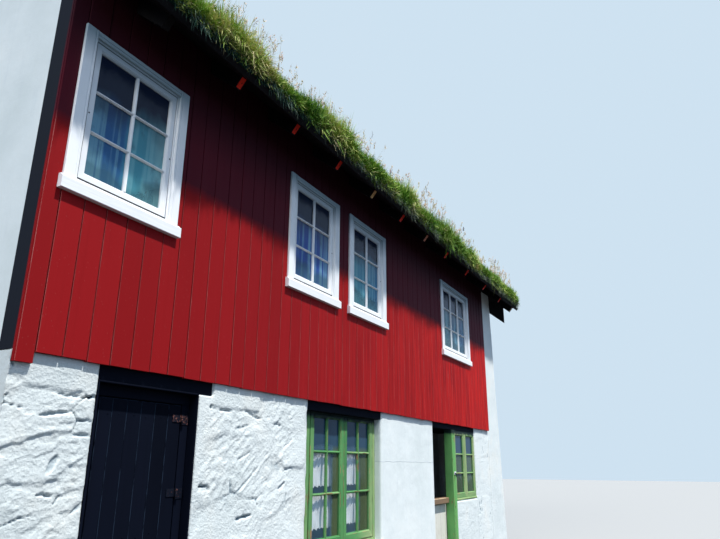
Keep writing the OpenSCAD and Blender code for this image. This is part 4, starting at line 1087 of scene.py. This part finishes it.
def green_windows():
    depth = GREEN_BACK - GREEN_FACE
    shape = Shape(41)
    shape.surround(front_at(GREEN_FACE), (GREEN_LEFT, GREEN_SILL), (GREEN_RIGHT, GREEN_HIGH),
                   leaf_profile(GREEN_FRAME, depth, 0.003), leaf_profile(GREEN_HEAD, depth, 0.003))
    shape.piece("green_frame_joinery", "green", ["green_window_frame"])
    shape = Shape(42)
    face = front_at(GREEN_FACE - 0.004)
    z0, z1 = GREEN_SILL + GREEN_FRAME, GREEN_HIGH - GREEN_HEAD
    for u0, u1 in leaves(GREEN_LEFT + GREEN_FRAME, GREEN_RIGHT - GREEN_FRAME):
        shape.surround(face, (u0, z0), (u1, z1), leaf_profile(GREEN_STILE, GREEN_LEAF_T),
                       leaf_profile(GREEN_TOP, GREEN_LEAF_T))
        bars(shape, face, (u0 + GREEN_STILE, z0 + GREEN_STILE), (u1 - GREEN_STILE, z1 - GREEN_TOP), 2, 3, GREEN_BAR,
             GREEN_RAIL, 0.003, 0.024, GREEN_ROW)
    shape.piece("green_leaves_joinery", "green", ["green_window_leaves"])
    low, high = SIDE
    place = front_at(low[1])
    shape = Shape(43)
    for u0, u1 in leaves(low[0], high[0]):
        shape.surround(place, (u0, low[2] + 0.028), (u1, high[2]), leaf_profile(GREEN_STILE, 0.09))
        bars(shape, place, (u0 + GREEN_STILE, low[2] + 0.1), (u1 - GREEN_STILE, high[2] - GREEN_STILE), 1, 3,
             GREEN_BAR, GREEN_RAIL, 0.004)
    shape.bar(place, (low[0], 0, low[2]), (high[0], 0, low[2]), HIGH,
              [(0, -0.09), (0, 0.008), (0.004, 0.012), (0.020, 0.012), (0.028, 0.004), (0.028, -0.09)])
    shape.piece("side_window_joinery", "green", ["side_window"])
    green_post()


def green_post():
    """The post beside the side window: two long boards on a core, with a latch plate and a bent bolt."""
    low, high = POST
    shape = Shape(44)
    joint, face = low[0] + 0.036, low[1] - 0.004
    shape.chamfer_box(low, (joint - 0.001, high[1], high[2]), 0.004)
    shape.chamfer_box((joint + 0.001, face, 0), high, 0.005)
    shape.piece("green_post_joinery", "green", ["green_post"])
    plate = Shape(45)
    plate.chamfer_box((low[0] + 0.030, face - 0.004, LATCH_LOW), (high[0] - 0.012, face, LATCH_HIGH), 0.001)
    plate.piece("latch_plate", "white")
    iron = Shape(46)
    place = front_at(face - 0.004)
    half, u = 0.004, low[0] + 0.050
    turns = [math.radians(100 - 18 * i) for i in range(7)]
    spots = [(u + BOLT_R * math.cos(a), 0.006, BOLT_Z + BOLT_R * math.sin(a)) for a in turns]
    for i in range(6):
        a = (turns[i] + turns[i + 1]) / 2
        iron.bar(place, spots[i], spots[i + 1], (math.cos(a), 0, math.sin(a)),
                 [(-half, -half), (-half, half), (half, half), (half, -half)])
    for x in (low[0] + 0.036, high[0] - 0.018):
        iron.disc(place, x, (LATCH_LOW + LATCH_HIGH) / 2, 0.004, 0.002)
    iron.piece("bent_bolt", "rust")


# Doors

# Joints between the black door's boards
DOOR_JOINTS = (0.745, 0.861, 0.977, 1.095, 1.217)
DOOR_LEAF_T, LEDGE_HALF, STRAP_HALF = 0.032, 0.055, 0.025
REVEAL_T, DOOR_FRAME_W, THRESHOLD, STOP = 0.012, 0.080, 0.040, 0.022


def boards_side_by_side(shape, edges, front, back, low, high, shift=0.0):
    """Door boards between the places in edges. shift is how far one may stand back."""
    for a, b in zip(edges, edges[1:]):
        y = front + shape.rng.uniform(0, shift) if shift else front
        shape.chamfer_box((a + 0.0008, y, low), (b - 0.0008, back, high), 0.003)


def cellar_door():
    """The black door: boards on three ledges, two of them behind the straps, in its lining."""
    low, high = box("cellar_door")
    face = low[1]
    behind = face + DOOR_LEAF_T
    lowest, highest = box("door_straps")[0][2] + STRAP_HALF, box("door_straps")[1][2] - STRAP_HALF
    ledges = (lowest, (lowest + highest) / 2, highest)
    shape = Shape(51)
    edges = [low[0], *DOOR_JOINTS, high[0]]
    boards_side_by_side(shape, edges, face, behind, low[2], high[2], 0.0015)
    for z in ledges:
        shape.chamfer_box((low[0] + 0.03, behind, z - LEDGE_HALF), (high[0] - 0.03, high[1], z + LEDGE_HALF), 0.004)
    shape.piece("cellar_door_boards", "door_black", ["cellar_door"], "cellar_door")
    nails = Shape(52)
    for z, (a, b) in product(ledges, zip(edges[:-2], edges[1:-1])):
        nails.disc(front_at(face), (a + b) / 2 + nails.rng.uniform(-0.02, 0.02), z + nails.rng.uniform(-0.02, 0.02),
                   0.004, 0.002)
    nails.piece("cellar_door_nails", "black", body="cellar_door")
    door_lining(face, behind + 0.008, high[2] + 0.007)


def door_lining(face, stop_y, top):
    """The reveal in front of the black door and the frame beside it, with the threshold and the stop behind it."""
    low, high = box("door_lining")
    shape = Shape(53)
    for near, far, wide in ((low[1] + 0.001, face - 0.001, REVEAL_T), (face, high[1], DOOR_FRAME_W)):
        head = high[2] - wide
        shape.chamfer_box((low[0], near, THRESHOLD), (low[0] + wide, far, head), along=2)
        shape.chamfer_box((high[0] - wide, near, THRESHOLD), (high[0], far, head), along=2)
        shape.chamfer_box((low[0], near, head), (high[0], far, high[2]), along=0)
    shape.chamfer_box((low[0], low[1] - 0.002, 0), (high[0], high[1], THRESHOLD), 0.006)
    left, right = low[0] + DOOR_FRAME_W, high[0] - DOOR_FRAME_W
    shape.chamfer_box((left, stop_y, THRESHOLD), (left + STOP, high[1], top))
    shape.chamfer_box((right - STOP, stop_y, THRESHOLD), (right, high[1], top))
    shape.chamfer_box((left + STOP, stop_y, top - STOP), (right - STOP, high[1], top))
    shape.piece("lining_boards", "black", ["door_lining"])


def lintels():
    """Each lintel is two beams, one behind the other."""
    for node in ("door_lintel", "green_window_lintel", "doorway_lintel"):
        low, high = box(node)
        shape = Shape(54)
        middle = low[1] + 0.2
        shape.chamfer_box(low, (high[0], middle, high[2]))
        shape.chamfer_box((low[0], middle + 0.004, low[2]), high)
        shape.piece(node + "_beams", "black", [node])


def half_door():
    """Cream boards under a brown shelf, which is narrower beside the post."""
    low, high = box("half_door")
    front = low[1]
    shape = Shape(61)
    boards_side_by_side(shape, np.linspace(low[0], high[0], 6), front, high[1], low[2], high[2] - 0.004)
    shape.piece("half_door_boards", "cream", ["half_door"], "half_door")
    low, high = box("half_door_ledge")
    under = low[2] + 0.010
    shape = Shape(62)
    shape.chamfer_box((low[0], low[1], under), (POST[0][0] - 0.02, high[1], high[2]), 0.008)
    shape.chamfer_box((POST[0][0] - 0.018, front, under), high, 0.006)
    shape.chamfer_box((low[0] + 0.01, front, low[2]), (high[0] - 0.01, high[1] - 0.004, under), 0.002)
    shape.piece("half_door_shelf", "brown", ["half_door_ledge"], "half_door")


# Curtains

# Each curtain's window, its two ends from the window's left edge, its cloth and folds
CURTAINS = (("window_1", 0.135, 0.42, "lace", 6), ("window_1", 0.43, 0.82, "teal", 8),
            ("window_2", 0.135, 0.27, "lace", 4), ("window_2", 0.62, 0.82, "teal", 5),
            ("window_3", 0.135, 0.50, "teal", 9), ("window_3", 0.51, 0.82, "teal", 7),
            ("wide_window", 0.135, 0.60, "lace", 9), ("wide_window", 0.72, 1.18, "lace", 9))
LACE_STRIPS = (("window_1", 0.14, 0.44), ("window_2", 0.14, 0.25))
# The green window's curtains: their two ends in each leaf, and the heights of the lower and the upper row
LEAF_CURTAINS = ((0.20, 0.61), (0.10, 0.46))
CURTAIN_ROWS = ((0.93, 1.215), (1.30, 1.595))
# A curtain's foot over its window's foot and head under the window's head, and a lace strip's foot and head over
# the window's foot
CURTAIN_FOOT, CURTAIN_HEAD = 0.11, 0.07
STRIP_FOOT, STRIP_HEAD = 0.14, 0.27


def curtain(name, place, u0, u1, z0, z1, back, folds, depth, material="curtain", scallops=0, seed=3):
    """A gathered curtain behind a window, with a scalloped hem if wanted. Laid flat it is as wide as its folds are
    long."""
    rng = np.random.default_rng(seed)
    n, m = folds * 10 + 1, 26
    t, s = np.linspace(0, 1, n), np.linspace(0, 1, m)[:, None]
    phase = 2 * math.pi * folds * t + 0.9 * np.sin(2 * math.pi * t * 2.3 + rng.uniform(0, 6))
    swing = depth * np.linspace(1, 0.55, m)[:, None]
    hem = 0.02 * np.abs(np.sin(math.pi * scallops * t))
    u = u0 + (u1 - u0) * t + 0.25 * swing * np.sin(2 * phase)
    v = -back + swing * np.sin(phase) + 0.004 * np.sin(5 * s + 9 * t)
    z = z0 - hem * (1 - s) ** 2 + (z1 - z0) * s
    points = on_wall(place, *(c.reshape(-1, 1) for c in (u, v, z)))
    faces = quads(np.arange(m * n).reshape(m, n))
    corners = points[faces]
    area = float(sum(np.linalg.norm(np.cross(corners[:, i] - corners[:, 0], corners[:, i + 1] - corners[:, 0]),
                                    axis=1).sum() for i in (1, 2)) / 2)
    piece = dress(make_mesh(name, points, faces.tolist()), name, material, smooth=True)
    length = z1 - z0
    round(area / length, 3)


def curtains():
    for number, (node, u0, u1, material, folds) in enumerate(CURTAINS):
        low, high = box(node)
        curtain(f"curtain_{number}", FRONT_PLACE, low[0] + u0, low[0] + u1,
                low[2] + CURTAIN_FOOT, high[2] - CURTAIN_HEAD, 0.080, folds, 0.016, material, seed=number)
    for node, u0, u1 in LACE_STRIPS:
        low, _ = box(node)
        curtain("lace_strip_" + node, FRONT_PLACE, low[0] + u0, low[0] + u1,
                low[2] + STRIP_FOOT, low[2] + STRIP_HEAD, 0.046, 3, 0.004, "lace", 3)
    leaf = (GREEN_RIGHT - GREEN_LEFT) / 2
    for number, (start, end) in enumerate(LEAF_CURTAINS):
        u = GREEN_LEFT + number * leaf
        for tier, (z0, z1) in enumerate(CURTAIN_ROWS):
            curtain(f"cellar_curtain_{number}{tier}", front_at(GREEN_FACE), u + start, u + end,
                    z0, z1, 0.060, 6, 0.010, scallops=6, seed=20 + number)


# Roof

TAIL_OUT, DECK_OUT = 0.320, 0.365
DECK_T, EAVE_H, TURF_T = 0.030, 0.045, 0.130
RAFTER_W, RAFTER_H = 0.060, 0.100
NAIL_R = 0.005
LIP = 0.020
RIDGE_R = 0.42
RIDGE_Z = BOARD_TOP - FRONT * SLOPE
# Blades bend back from the first distance to the house's middle and end before the second, and end before
# GRASS_PAST beyond the turf's two ends
GRASS_OUT, GRASS_PAST = (3.37, 3.45), 0.03


def on_roof(s, t):
    """The place (y, z) on the front slope, s up the slope from the boarded face and t square to it."""
    return FRONT + s * math.cos(PITCH) - t * math.sin(PITCH), BOARD_TOP + s * math.sin(PITCH) + t * math.cos(PITCH)


def rafter_places():
    """Middles of the rafters along the house, read from the frame's own rafters."""
    xs = np.array([v.co.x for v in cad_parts["rafters_front"].data.vertices]) - SHIFT[0]
    marks = sorted(set(np.round(xs, 3)))
    return [(a + b) / 2 for a, b in zip(marks[::2], marks[1::2])]


def rafter_ends():
    """Painted end faces of the rafters: most are red-orange, some have weathered to other colours, and the first is
    black. A dark nail sits in each."""
    shapes = {name: Shape(70 + i) for i, name in enumerate(("orange", "ochre", "salmon", "pale_end", "tar"))}
    s = -TAIL_OUT / math.cos(PITCH)
    for (number, x), side in product(enumerate(rafter_places()), (1, -1)):
        tint = {0: "tar", 4: "ochre", 6: "salmon", 11: "pale_end"}.get(number, "orange")
        left, right = x - RAFTER_W / 2 + 0.006, x + RAFTER_W / 2 - 0.008
        points = []
        for skin in (0.0006, -0.0012):
            (y0, z0), (y1, z1) = on_roof(s + skin, -0.003), on_roof(s + skin, -0.092)
            points += [(left, side * y0, z0), (right, side * y0, z0), (right, side * y1, z1), (left, side * y1, z1)]
        shapes[tint].add(points, [[4, 5, 6, 7], [0, 1, 2, 3]] + ring_faces(4, 1), points)
        nail = []
        for a in EIGHTHS:
            y, z = on_roof(s - 0.0022, -0.45 * RAFTER_H + NAIL_R * math.sin(a))
            nail.append((x + 0.004 + NAIL_R * math.cos(a), side * y, z))
        shapes["tar"].add(nail, [list(range(len(nail)))])
    for tint, shape in shapes.items():
        shape.piece("rafter_ends_" + tint, tint)


def turf_line():
    """The turf's section from under its nose at the eave to the middle of the ridge: y, z, the direction away and how
    much each place belongs to the cut edge of the sods."""
    s0 = -DECK_OUT / math.cos(PITCH)
    top = DECK_T + TURF_T
    nose_r = top - EAVE_H
    line = [(*on_roof(s0 - LIP * k / 4, EAVE_H), 270, 1.0) for k in range(4)]
    for k in range(11):
        a = math.radians(180 - 9 * k)
        y, z = on_roof(s0 - LIP + nose_r * (1 + math.cos(a)), EAVE_H + nose_r * math.sin(a))
        line.append((y, z, math.degrees(a), 1.0 - k / 11))
    centre_z = RIDGE_Z + (top - RIDGE_R) / math.cos(PITCH)
    end_y, end_z = -RIDGE_R * math.sin(PITCH), centre_z + RIDGE_R * math.cos(PITCH)
    y, z = line[-1][:2]
    n = round(math.dist((y, z), (end_y, end_z)) / 0.055)
    line += [(y + (end_y - y) * k / n, z + (end_z - z) * k / n, 90, 0) for k in range(1, n + 1)]
    for k in range(1, 7):
        a = PITCH * (1 - k / 6)
        line.append((-RIDGE_R * math.sin(a), centre_z + RIDGE_R * math.cos(a), 90 + math.degrees(a - PITCH), 0))
    return line


def sods(side, label):
    """The sods of one slope as a lumpy closed body. Returns the points and directions of its skin."""
    name = "sods_" + label
    y, z, turn, edge = np.array(turf_line()).T
    xs = lines(0, (TURF_END, 0.075))
    n, m = len(xs), len(y)
    turn = np.radians(turn) + PITCH
    skin, away = np.zeros((n, m, 3)), np.zeros((n, m, 3))
    skin[:, :, 0], skin[:, :, 1], skin[:, :, 2] = xs[:, None], y, z
    away[:, :, 1], away[:, :, 2] = np.cos(turn), np.sin(turn)
    p = skin.reshape(-1, 3) * (1, side, 1) + (0, 0, 3 * (side < 0))
    lift = 0.030 * layered_noise(p, 0.34, 301) + 0.016 * layered_noise(p, 0.11, 305, 2)
    # Calm under the eave and over the ridge, where the two slopes meet
    share = np.ones(m)
    share[:6] = np.linspace(0.1, 0.9, 6)
    share[-7:] = np.linspace(1, 0, 7)
    skin += away * (lift.reshape(n, m) * share)[:, :, None]
    skin[:, :, 1] *= side
    away[:, :, 1] *= side
    under = DECK_T + 0.001
    bed = np.zeros((n, 2, 3))
    bed[:, :, 0] = skin[:, 0, 0][:, None]
    for k, (y, z) in enumerate(((0.0, RIDGE_Z + under / math.cos(PITCH)), on_roof(-DECK_OUT / math.cos(PITCH), under))):
        bed[:, k, 1], bed[:, k, 2] = side * y, z
    grid = np.arange(n * (m + 2)).reshape(n, m + 2)
    faces = quads(closed(grid))[:, ::-side]
    mesh = make_mesh(name, np.concatenate([skin, bed], 1), faces.tolist() + [grid[0].tolist(), grid[-1].tolist()])
    give_values(mesh, "recess_shade_and_sod_edge", np.tile(np.append(edge, [1, 1]), n))
    dress(mesh, name, "soil", ["turf_" + label], smooth=True)
    return skin, away


def unit(v):
    return v / np.maximum(np.linalg.norm(v, axis=1), 1e-6)[:, None]


def on_blade(foot, rise, lean, length, bend, t):
    """Places on blades at the share t of their length."""
    up, over = length * (t - 0.42 * bend * t * t), length * bend * t * t * 0.85
    return foot + rise * up[:, None] + lean * over[:, None]


def blade_mesh(name, material, foot, rise, lean, length, width, bend, tone):
    """Blades of grass as one mesh. Each starts at foot, grows along rise and bends over towards lean."""
    n = len(foot)
    side = unit(np.cross(rise, lean))
    rows = []
    for t in (0, 0.5, 1):
        centre = on_blade(foot, rise, lean, length, bend, t)
        half = (width * (1 - 0.55 * t) / 2)[:, None] * side
        rows += [centre - half, centre + half] if t < 1 else [centre]
    points = np.stack(rows, 1)
    reach = GRASS_OUT[1] - GRASS_OUT[0]
    beyond = np.maximum(np.abs(points[:, :, 1]) - GRASS_OUT[0], 0)
    squeezed = np.sign(points[:, :, 1]) * (GRASS_OUT[0] + reach * (1 - np.exp(-beyond / reach)))
    points[:, :, 1] = np.where(beyond > 0, squeezed, points[:, :, 1])
    middle, past = TURF_END / 2, GRASS_PAST
    beyond = np.abs(points[:, :, 0] - middle) - middle
    kept = np.where(beyond > 0, past * (1 - np.exp(-beyond / past)), beyond)
    points[:, :, 0] = middle + np.sign(points[:, :, 0] - middle) * (middle + kept)
    start = (np.arange(n) * 5)[:, None]
    faces = (start + np.array([0, 1, 3, 2])).tolist() + (start + np.array([2, 3, 4])).tolist()
    mesh = make_mesh(name, points, faces)
    give_values(mesh, "tone", np.repeat(tone, 5))
    give_values(mesh, "edge", np.tile([0, 0, 0.5, 0.5, 1], n))
    dress(mesh, name, material)


def pick(rng, skin, away, count, rows):
    """Random places on the sods between two rows of their skin, with the directions there."""
    i = rng.uniform(0, len(skin) - 1.001, count)
    j = rng.uniform(rows[0], rows[1], count)
    i0, j0 = i.astype(int), j.astype(int)
    fi, fj = (i - i0)[:, None], (j - j0)[:, None]

    def at(grid):
        return ((grid[i0, j0] * (1 - fj) + grid[i0, j0 + 1] * fj) * (1 - fi)
                + (grid[i0 + 1, j0] * (1 - fj) + grid[i0 + 1, j0 + 1] * fj) * fi)

    return at(skin), at(away)


def tufts(rng, name, skin, away, rows, count, per, sizes, width, out, lean_out):
    """Grass in tufts. The blades of a tuft fan out round its own direction and share its colour."""
    centre, normal = pick(rng, skin, away, count, rows)
    dense = lattice_noise(centre, 0.25, 400)
    verge = step(TURF_END - centre[:, 0], 0.0, 0.5)
    keep = rng.random(len(centre)) > np.maximum(0.35 * (dense < -0.15), 0.7 * (1 - verge))
    centre, normal = centre[keep], normal[keep]
    k = len(centre)
    main = unit(0.66 * UP + 0.34 * normal + 0.12 * lean_out * out + rng.normal(0, 0.22, (k, 3)))
    tall = step(lattice_noise(centre, 0.30, 410), -0.5, 0.6)
    size = sizes[0] + (sizes[1] - sizes[0]) * (0.1 + 0.9 * tall) * rng.uniform(0.3, 1, k)
    size *= 0.45 + 0.55 * step(TURF_END - centre[:, 0], 0.0, 0.4)
    tone = 0.50 + 0.30 * lattice_noise(centre, 0.4, 420) + rng.normal(0, 0.17, k)
    centre, normal, main, size, tone = (np.repeat(v, per, 0) for v in (centre, normal, main, size, tone))
    n = k * per
    around = rng.normal(0, 1, (n, 3))
    around = unit(around - normal * (around * normal).sum(1)[:, None])
    radius = rng.uniform(0, 1, n)[:, None]
    foot = centre + around * radius * 0.028 - normal * 0.012
    rise = unit(main + around * radius * 0.60 + rng.normal(0, 0.08, (n, 3)))
    lean = unit(around + lean_out * out + rng.normal(0, 0.35, (n, 3)) - (0, 0, 0.25))
    blade_mesh(name, "grass", foot, rise, lean, size * rng.uniform(0.5, 1, n), width * rng.uniform(0.6, 1.3, n),
               rng.uniform(0.2, 1.2, n), np.clip(tone + rng.normal(0, 0.11, n), 0, 1))


def hanging(rng, label, skin, out, count):
    """Roots and dead blades that hang over the eave board."""
    foot, _ = pick(rng, skin, skin, count, (5, 10.5))
    n = len(foot)
    rise = unit(np.tile(0.45 * out - 0.8 * UP, (n, 1)) + rng.normal(0, 0.28, (n, 3)))
    lean = np.tile([0, 0, -1.0], (n, 1)) + rng.normal(0, 0.3, (n, 3))
    length = 0.025 + 0.05 * rng.random(n) ** 1.5 + 0.04 * step(lattice_noise(foot, 0.3, 430), 0.2, 0.7)
    # Darker teal near the party line, pale grey towards the gable
    far = 0.45 * step(foot[:, 0] + 0.5 * lattice_noise(foot, 0.4, 431), 1.8, 3.6)
    blade_mesh(f"hanging_roots_{label}", "roots", foot, rise, lean, length, rng.uniform(0.003, 0.008, n),
               rng.uniform(0.3, 0.9, n), far + rng.uniform(0, 0.55, n))


def seed_heads(rng, name, material, skin, away, rows, count, grouped, shortest):
    """Thin stalks with feathery heads, in groups."""
    foot, normal = pick(rng, skin, away, count * 4, rows)
    keep = lattice_noise(foot, 0.7, 440) > grouped
    foot, normal = foot[keep][:count], normal[keep][:count]
    n, per = len(foot), 12
    rise = unit(0.85 * UP + 0.15 * normal + rng.normal(0, 0.18, (n, 3)))
    lean = unit(rng.normal(0, 1, (n, 3)) * (1, 1, 0.01))
    length = rng.uniform(shortest, 0.38, n)
    bend = rng.uniform(0.05, 0.4, n)
    blade_mesh(name + "_stalks", material, foot, rise, lean, length, np.full(n, 0.004), bend, rng.random(n))
    tip = on_blade(foot, rise, lean, length, bend, 1)
    along = rng.uniform(-0.055, 0.010, n * per)[:, None]
    rise = np.repeat(rise, per, 0)
    points = np.repeat(tip, per, 0) + rise * along + rng.normal(0, 0.006, (n * per, 3))
    fan = unit(rise + rng.normal(0, 0.50, (n * per, 3)))
    blade_mesh(name + "_heads", material, points, fan, np.roll(fan, 1, 1), rng.uniform(0.018, 0.042, n * per),
               rng.uniform(0.005, 0.010, n * per), rng.uniform(0, 0.5, n * per), np.repeat(rng.random(n), per))


def grass():
    for side, label in ((1, "front"), (-1, "back")):
        rng = np.random.default_rng(900 + side)
        skin, away = sods(side, label)
        rows = skin.shape[1]
        out = np.array([0, -side, 0.0])
        # The street side has more of everything
        near, far, per, seeds, roots = (3300, 2400, 17, 1500, 5200) if side > 0 else (1900, 1900, 14, 500, 2600)
        # Rows of the skin, tufts, blades a tuft, lengths, width, the way out and how far they lean that way
        for part, *sizes in (("eave", (5, 19), near, per, (0.09, 0.30), 0.0085, out, 0.5),
                             ("edge", (3, 9), 900, 9, (0.05, 0.12), 0.007, out, 0.9),
                             ("slope", (20, rows - 8), far, 11, (0.08, 0.22), 0.014, out, 0.35),
                             ("ridge", (rows - 9, rows - 1), 400, 12, (0.06, 0.13), 0.009, out, 0.2)):
            tufts(rng, f"grass_{part}_{label}", skin, away, *sizes)
        hanging(rng, label, skin, out, roots)
        seed_heads(rng, f"seed_{label}", "dry", skin, away, (9, rows - 12), seeds, 0.05, 0.18)
        seed_heads(rng, f"dock_{label}", "stalks", skin, away, (9, rows - 12), 90, -1, 0.22)


# Frame nodes that keep their shape

def plain_nodes():
    finishes = {
        "sky_glass": ["upper_glass"],
        "cellar_glass": ["cellar_glass"],
        "smooth": ["party_wall"],
        "beam": ["floor_beams", "ceiling_beams"],
        "floor": ["upper_floor", "attic_floor", "ridge_board"],
        "lining": ["front_timber_wall", "back_timber_wall", "gable_frame"],
        "rust": ["door_straps", "door_pintles", "half_door_straps", "half_door_pintles"],
        "tar": ["rafters_front", "rafters_back", "roof_boards_front", "roof_boards_back", "eave_boards",
                "verge_boards", "barge_boards"],
    }
    for material, nodes in finishes.items():
        for node in nodes:
            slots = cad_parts[node].data.materials
            slots.clear()
            slots.append(MATERIALS[material])


# Stage

FLOOR_HALF = 60
FLOOR_SEEN, FLOOR_THROWN = (0.33, 0.33, 0.32), (0.05, 0.05, 0.05)
SKY_SEEN, SKY_LIGHT, SKY_STRENGTH = (0.62, 0.76, 0.88, 1), (0.52, 0.71, 1.0, 1), 0.84
# Name, direction, strength, width in degrees and colour
LAMPS = (("key", (0.02, -0.45, 0.94), 5.55, 1.6, (1.0, 0.985, 0.96)),
         ("side", (-0.95, -0.04, 0.32), 1.7, 25, (1.0, 0.99, 0.96)),
         ("fill", (0.75, 0.35, 0.45), 0.7, 40, (0.96, 0.98, 1.0)))
# The photograph's camera: its place from the party line, its turn, tilt and roll in degrees, and its lens
EYE, EYE_TURN, LENS = (-1.956, -5.9, 1.5), (27.5, 17.5, 0.17), 30.75


def stage():
    """A pale floor, a pale sky and three soft lamps. The floor throws back less light than it seems to."""
    mesh = bpy.data.meshes.new("floor")
    corners = [(x * FLOOR_HALF, y * FLOOR_HALF, 0) for x, y in ((-1, -1), (1, -1), (1, 1), (-1, 1))]
    mesh.from_pydata(corners, [], [(0, 1, 2, 3)])
    f = Finish("pale_floor", Roughness=0.9, Specular_IOR_Level=0.0)
    seen = f.node("LightPath", {}, "Is Camera Ray")
    f.done(f.mix(seen, FLOOR_THROWN, FLOOR_SEEN))
    mesh.materials.append(f.mat)
    floor = new_object("floor", mesh)
    world = bpy.data.worlds.new("studio")
    bpy.context.scene.world = world
    world.use_nodes = True
    nodes, link = world.node_tree.nodes, world.node_tree.links.new
    sky = nodes["Background"]
    sky.inputs["Color"].default_value = SKY_SEEN
    light = nodes.new("ShaderNodeBackground")
    light.inputs["Color"].default_value = SKY_LIGHT
    light.inputs["Strength"].default_value = SKY_STRENGTH
    path = nodes.new("ShaderNodeLightPath")
    either = nodes.new("ShaderNodeMath")
    either.operation = "MAXIMUM"
    mixer = nodes.new("ShaderNodeMixShader")
    link(path.outputs["Is Camera Ray"], either.inputs[0])
    link(path.outputs["Is Transmission Ray"], either.inputs[1])
    for number, source in enumerate((either, light, sky)):
        link(source.outputs[0], mixer.inputs[number])
    link(mixer.outputs[0], nodes["World Output"].inputs["Surface"])
    for settings in LAMPS:
        lamp(*settings)


def lamp(name, towards, strength, angle, colour):
    """A far soft lamp that stands in the direction given."""
    data = bpy.data.lights.new(name, "SUN")
    data.energy = strength
    data.angle = math.radians(angle)
    data.color = colour
    lamp_object = new_object(name, data)
    lamp_object.rotation_mode = "QUATERNION"
    lamp_object.rotation_quaternion = Vector(towards).to_track_quat("Z", "Y")


def camera():
    """The photograph's camera: on the street to the left of the house, looking up along its front."""
    yaw, pitch, roll = (math.radians(a) for a in EYE_TURN)
    ahead = Vector((math.cos(yaw) * math.cos(pitch), math.sin(yaw) * math.cos(pitch), math.sin(pitch)))
    right = Vector((math.sin(yaw), -math.cos(yaw), 0))
    up = right.cross(ahead)
    right, up = right * math.cos(roll) + up * math.sin(roll), up * math.cos(roll) - right * math.sin(roll)
    data = bpy.data.cameras.new("camera")
    data.sensor_width = 36
    data.lens = LENS
    data.clip_end = 200
    view = new_object("camera", data)
    turn = Matrix((right, up, -ahead)).transposed()
    view.matrix_world = Matrix.Translation(Vector(EYE) + Vector(SHIFT)) @ turn.to_4x4()
    bpy.context.scene.camera = view
    bpy.context.scene.view_settings.view_transform = "Standard"


masonry()
red_boards()
white_windows()
green_windows()
cellar_door()
lintels()
half_door()
curtains()
rafter_ends()
grass()
plain_nodes()
stage()
camera()
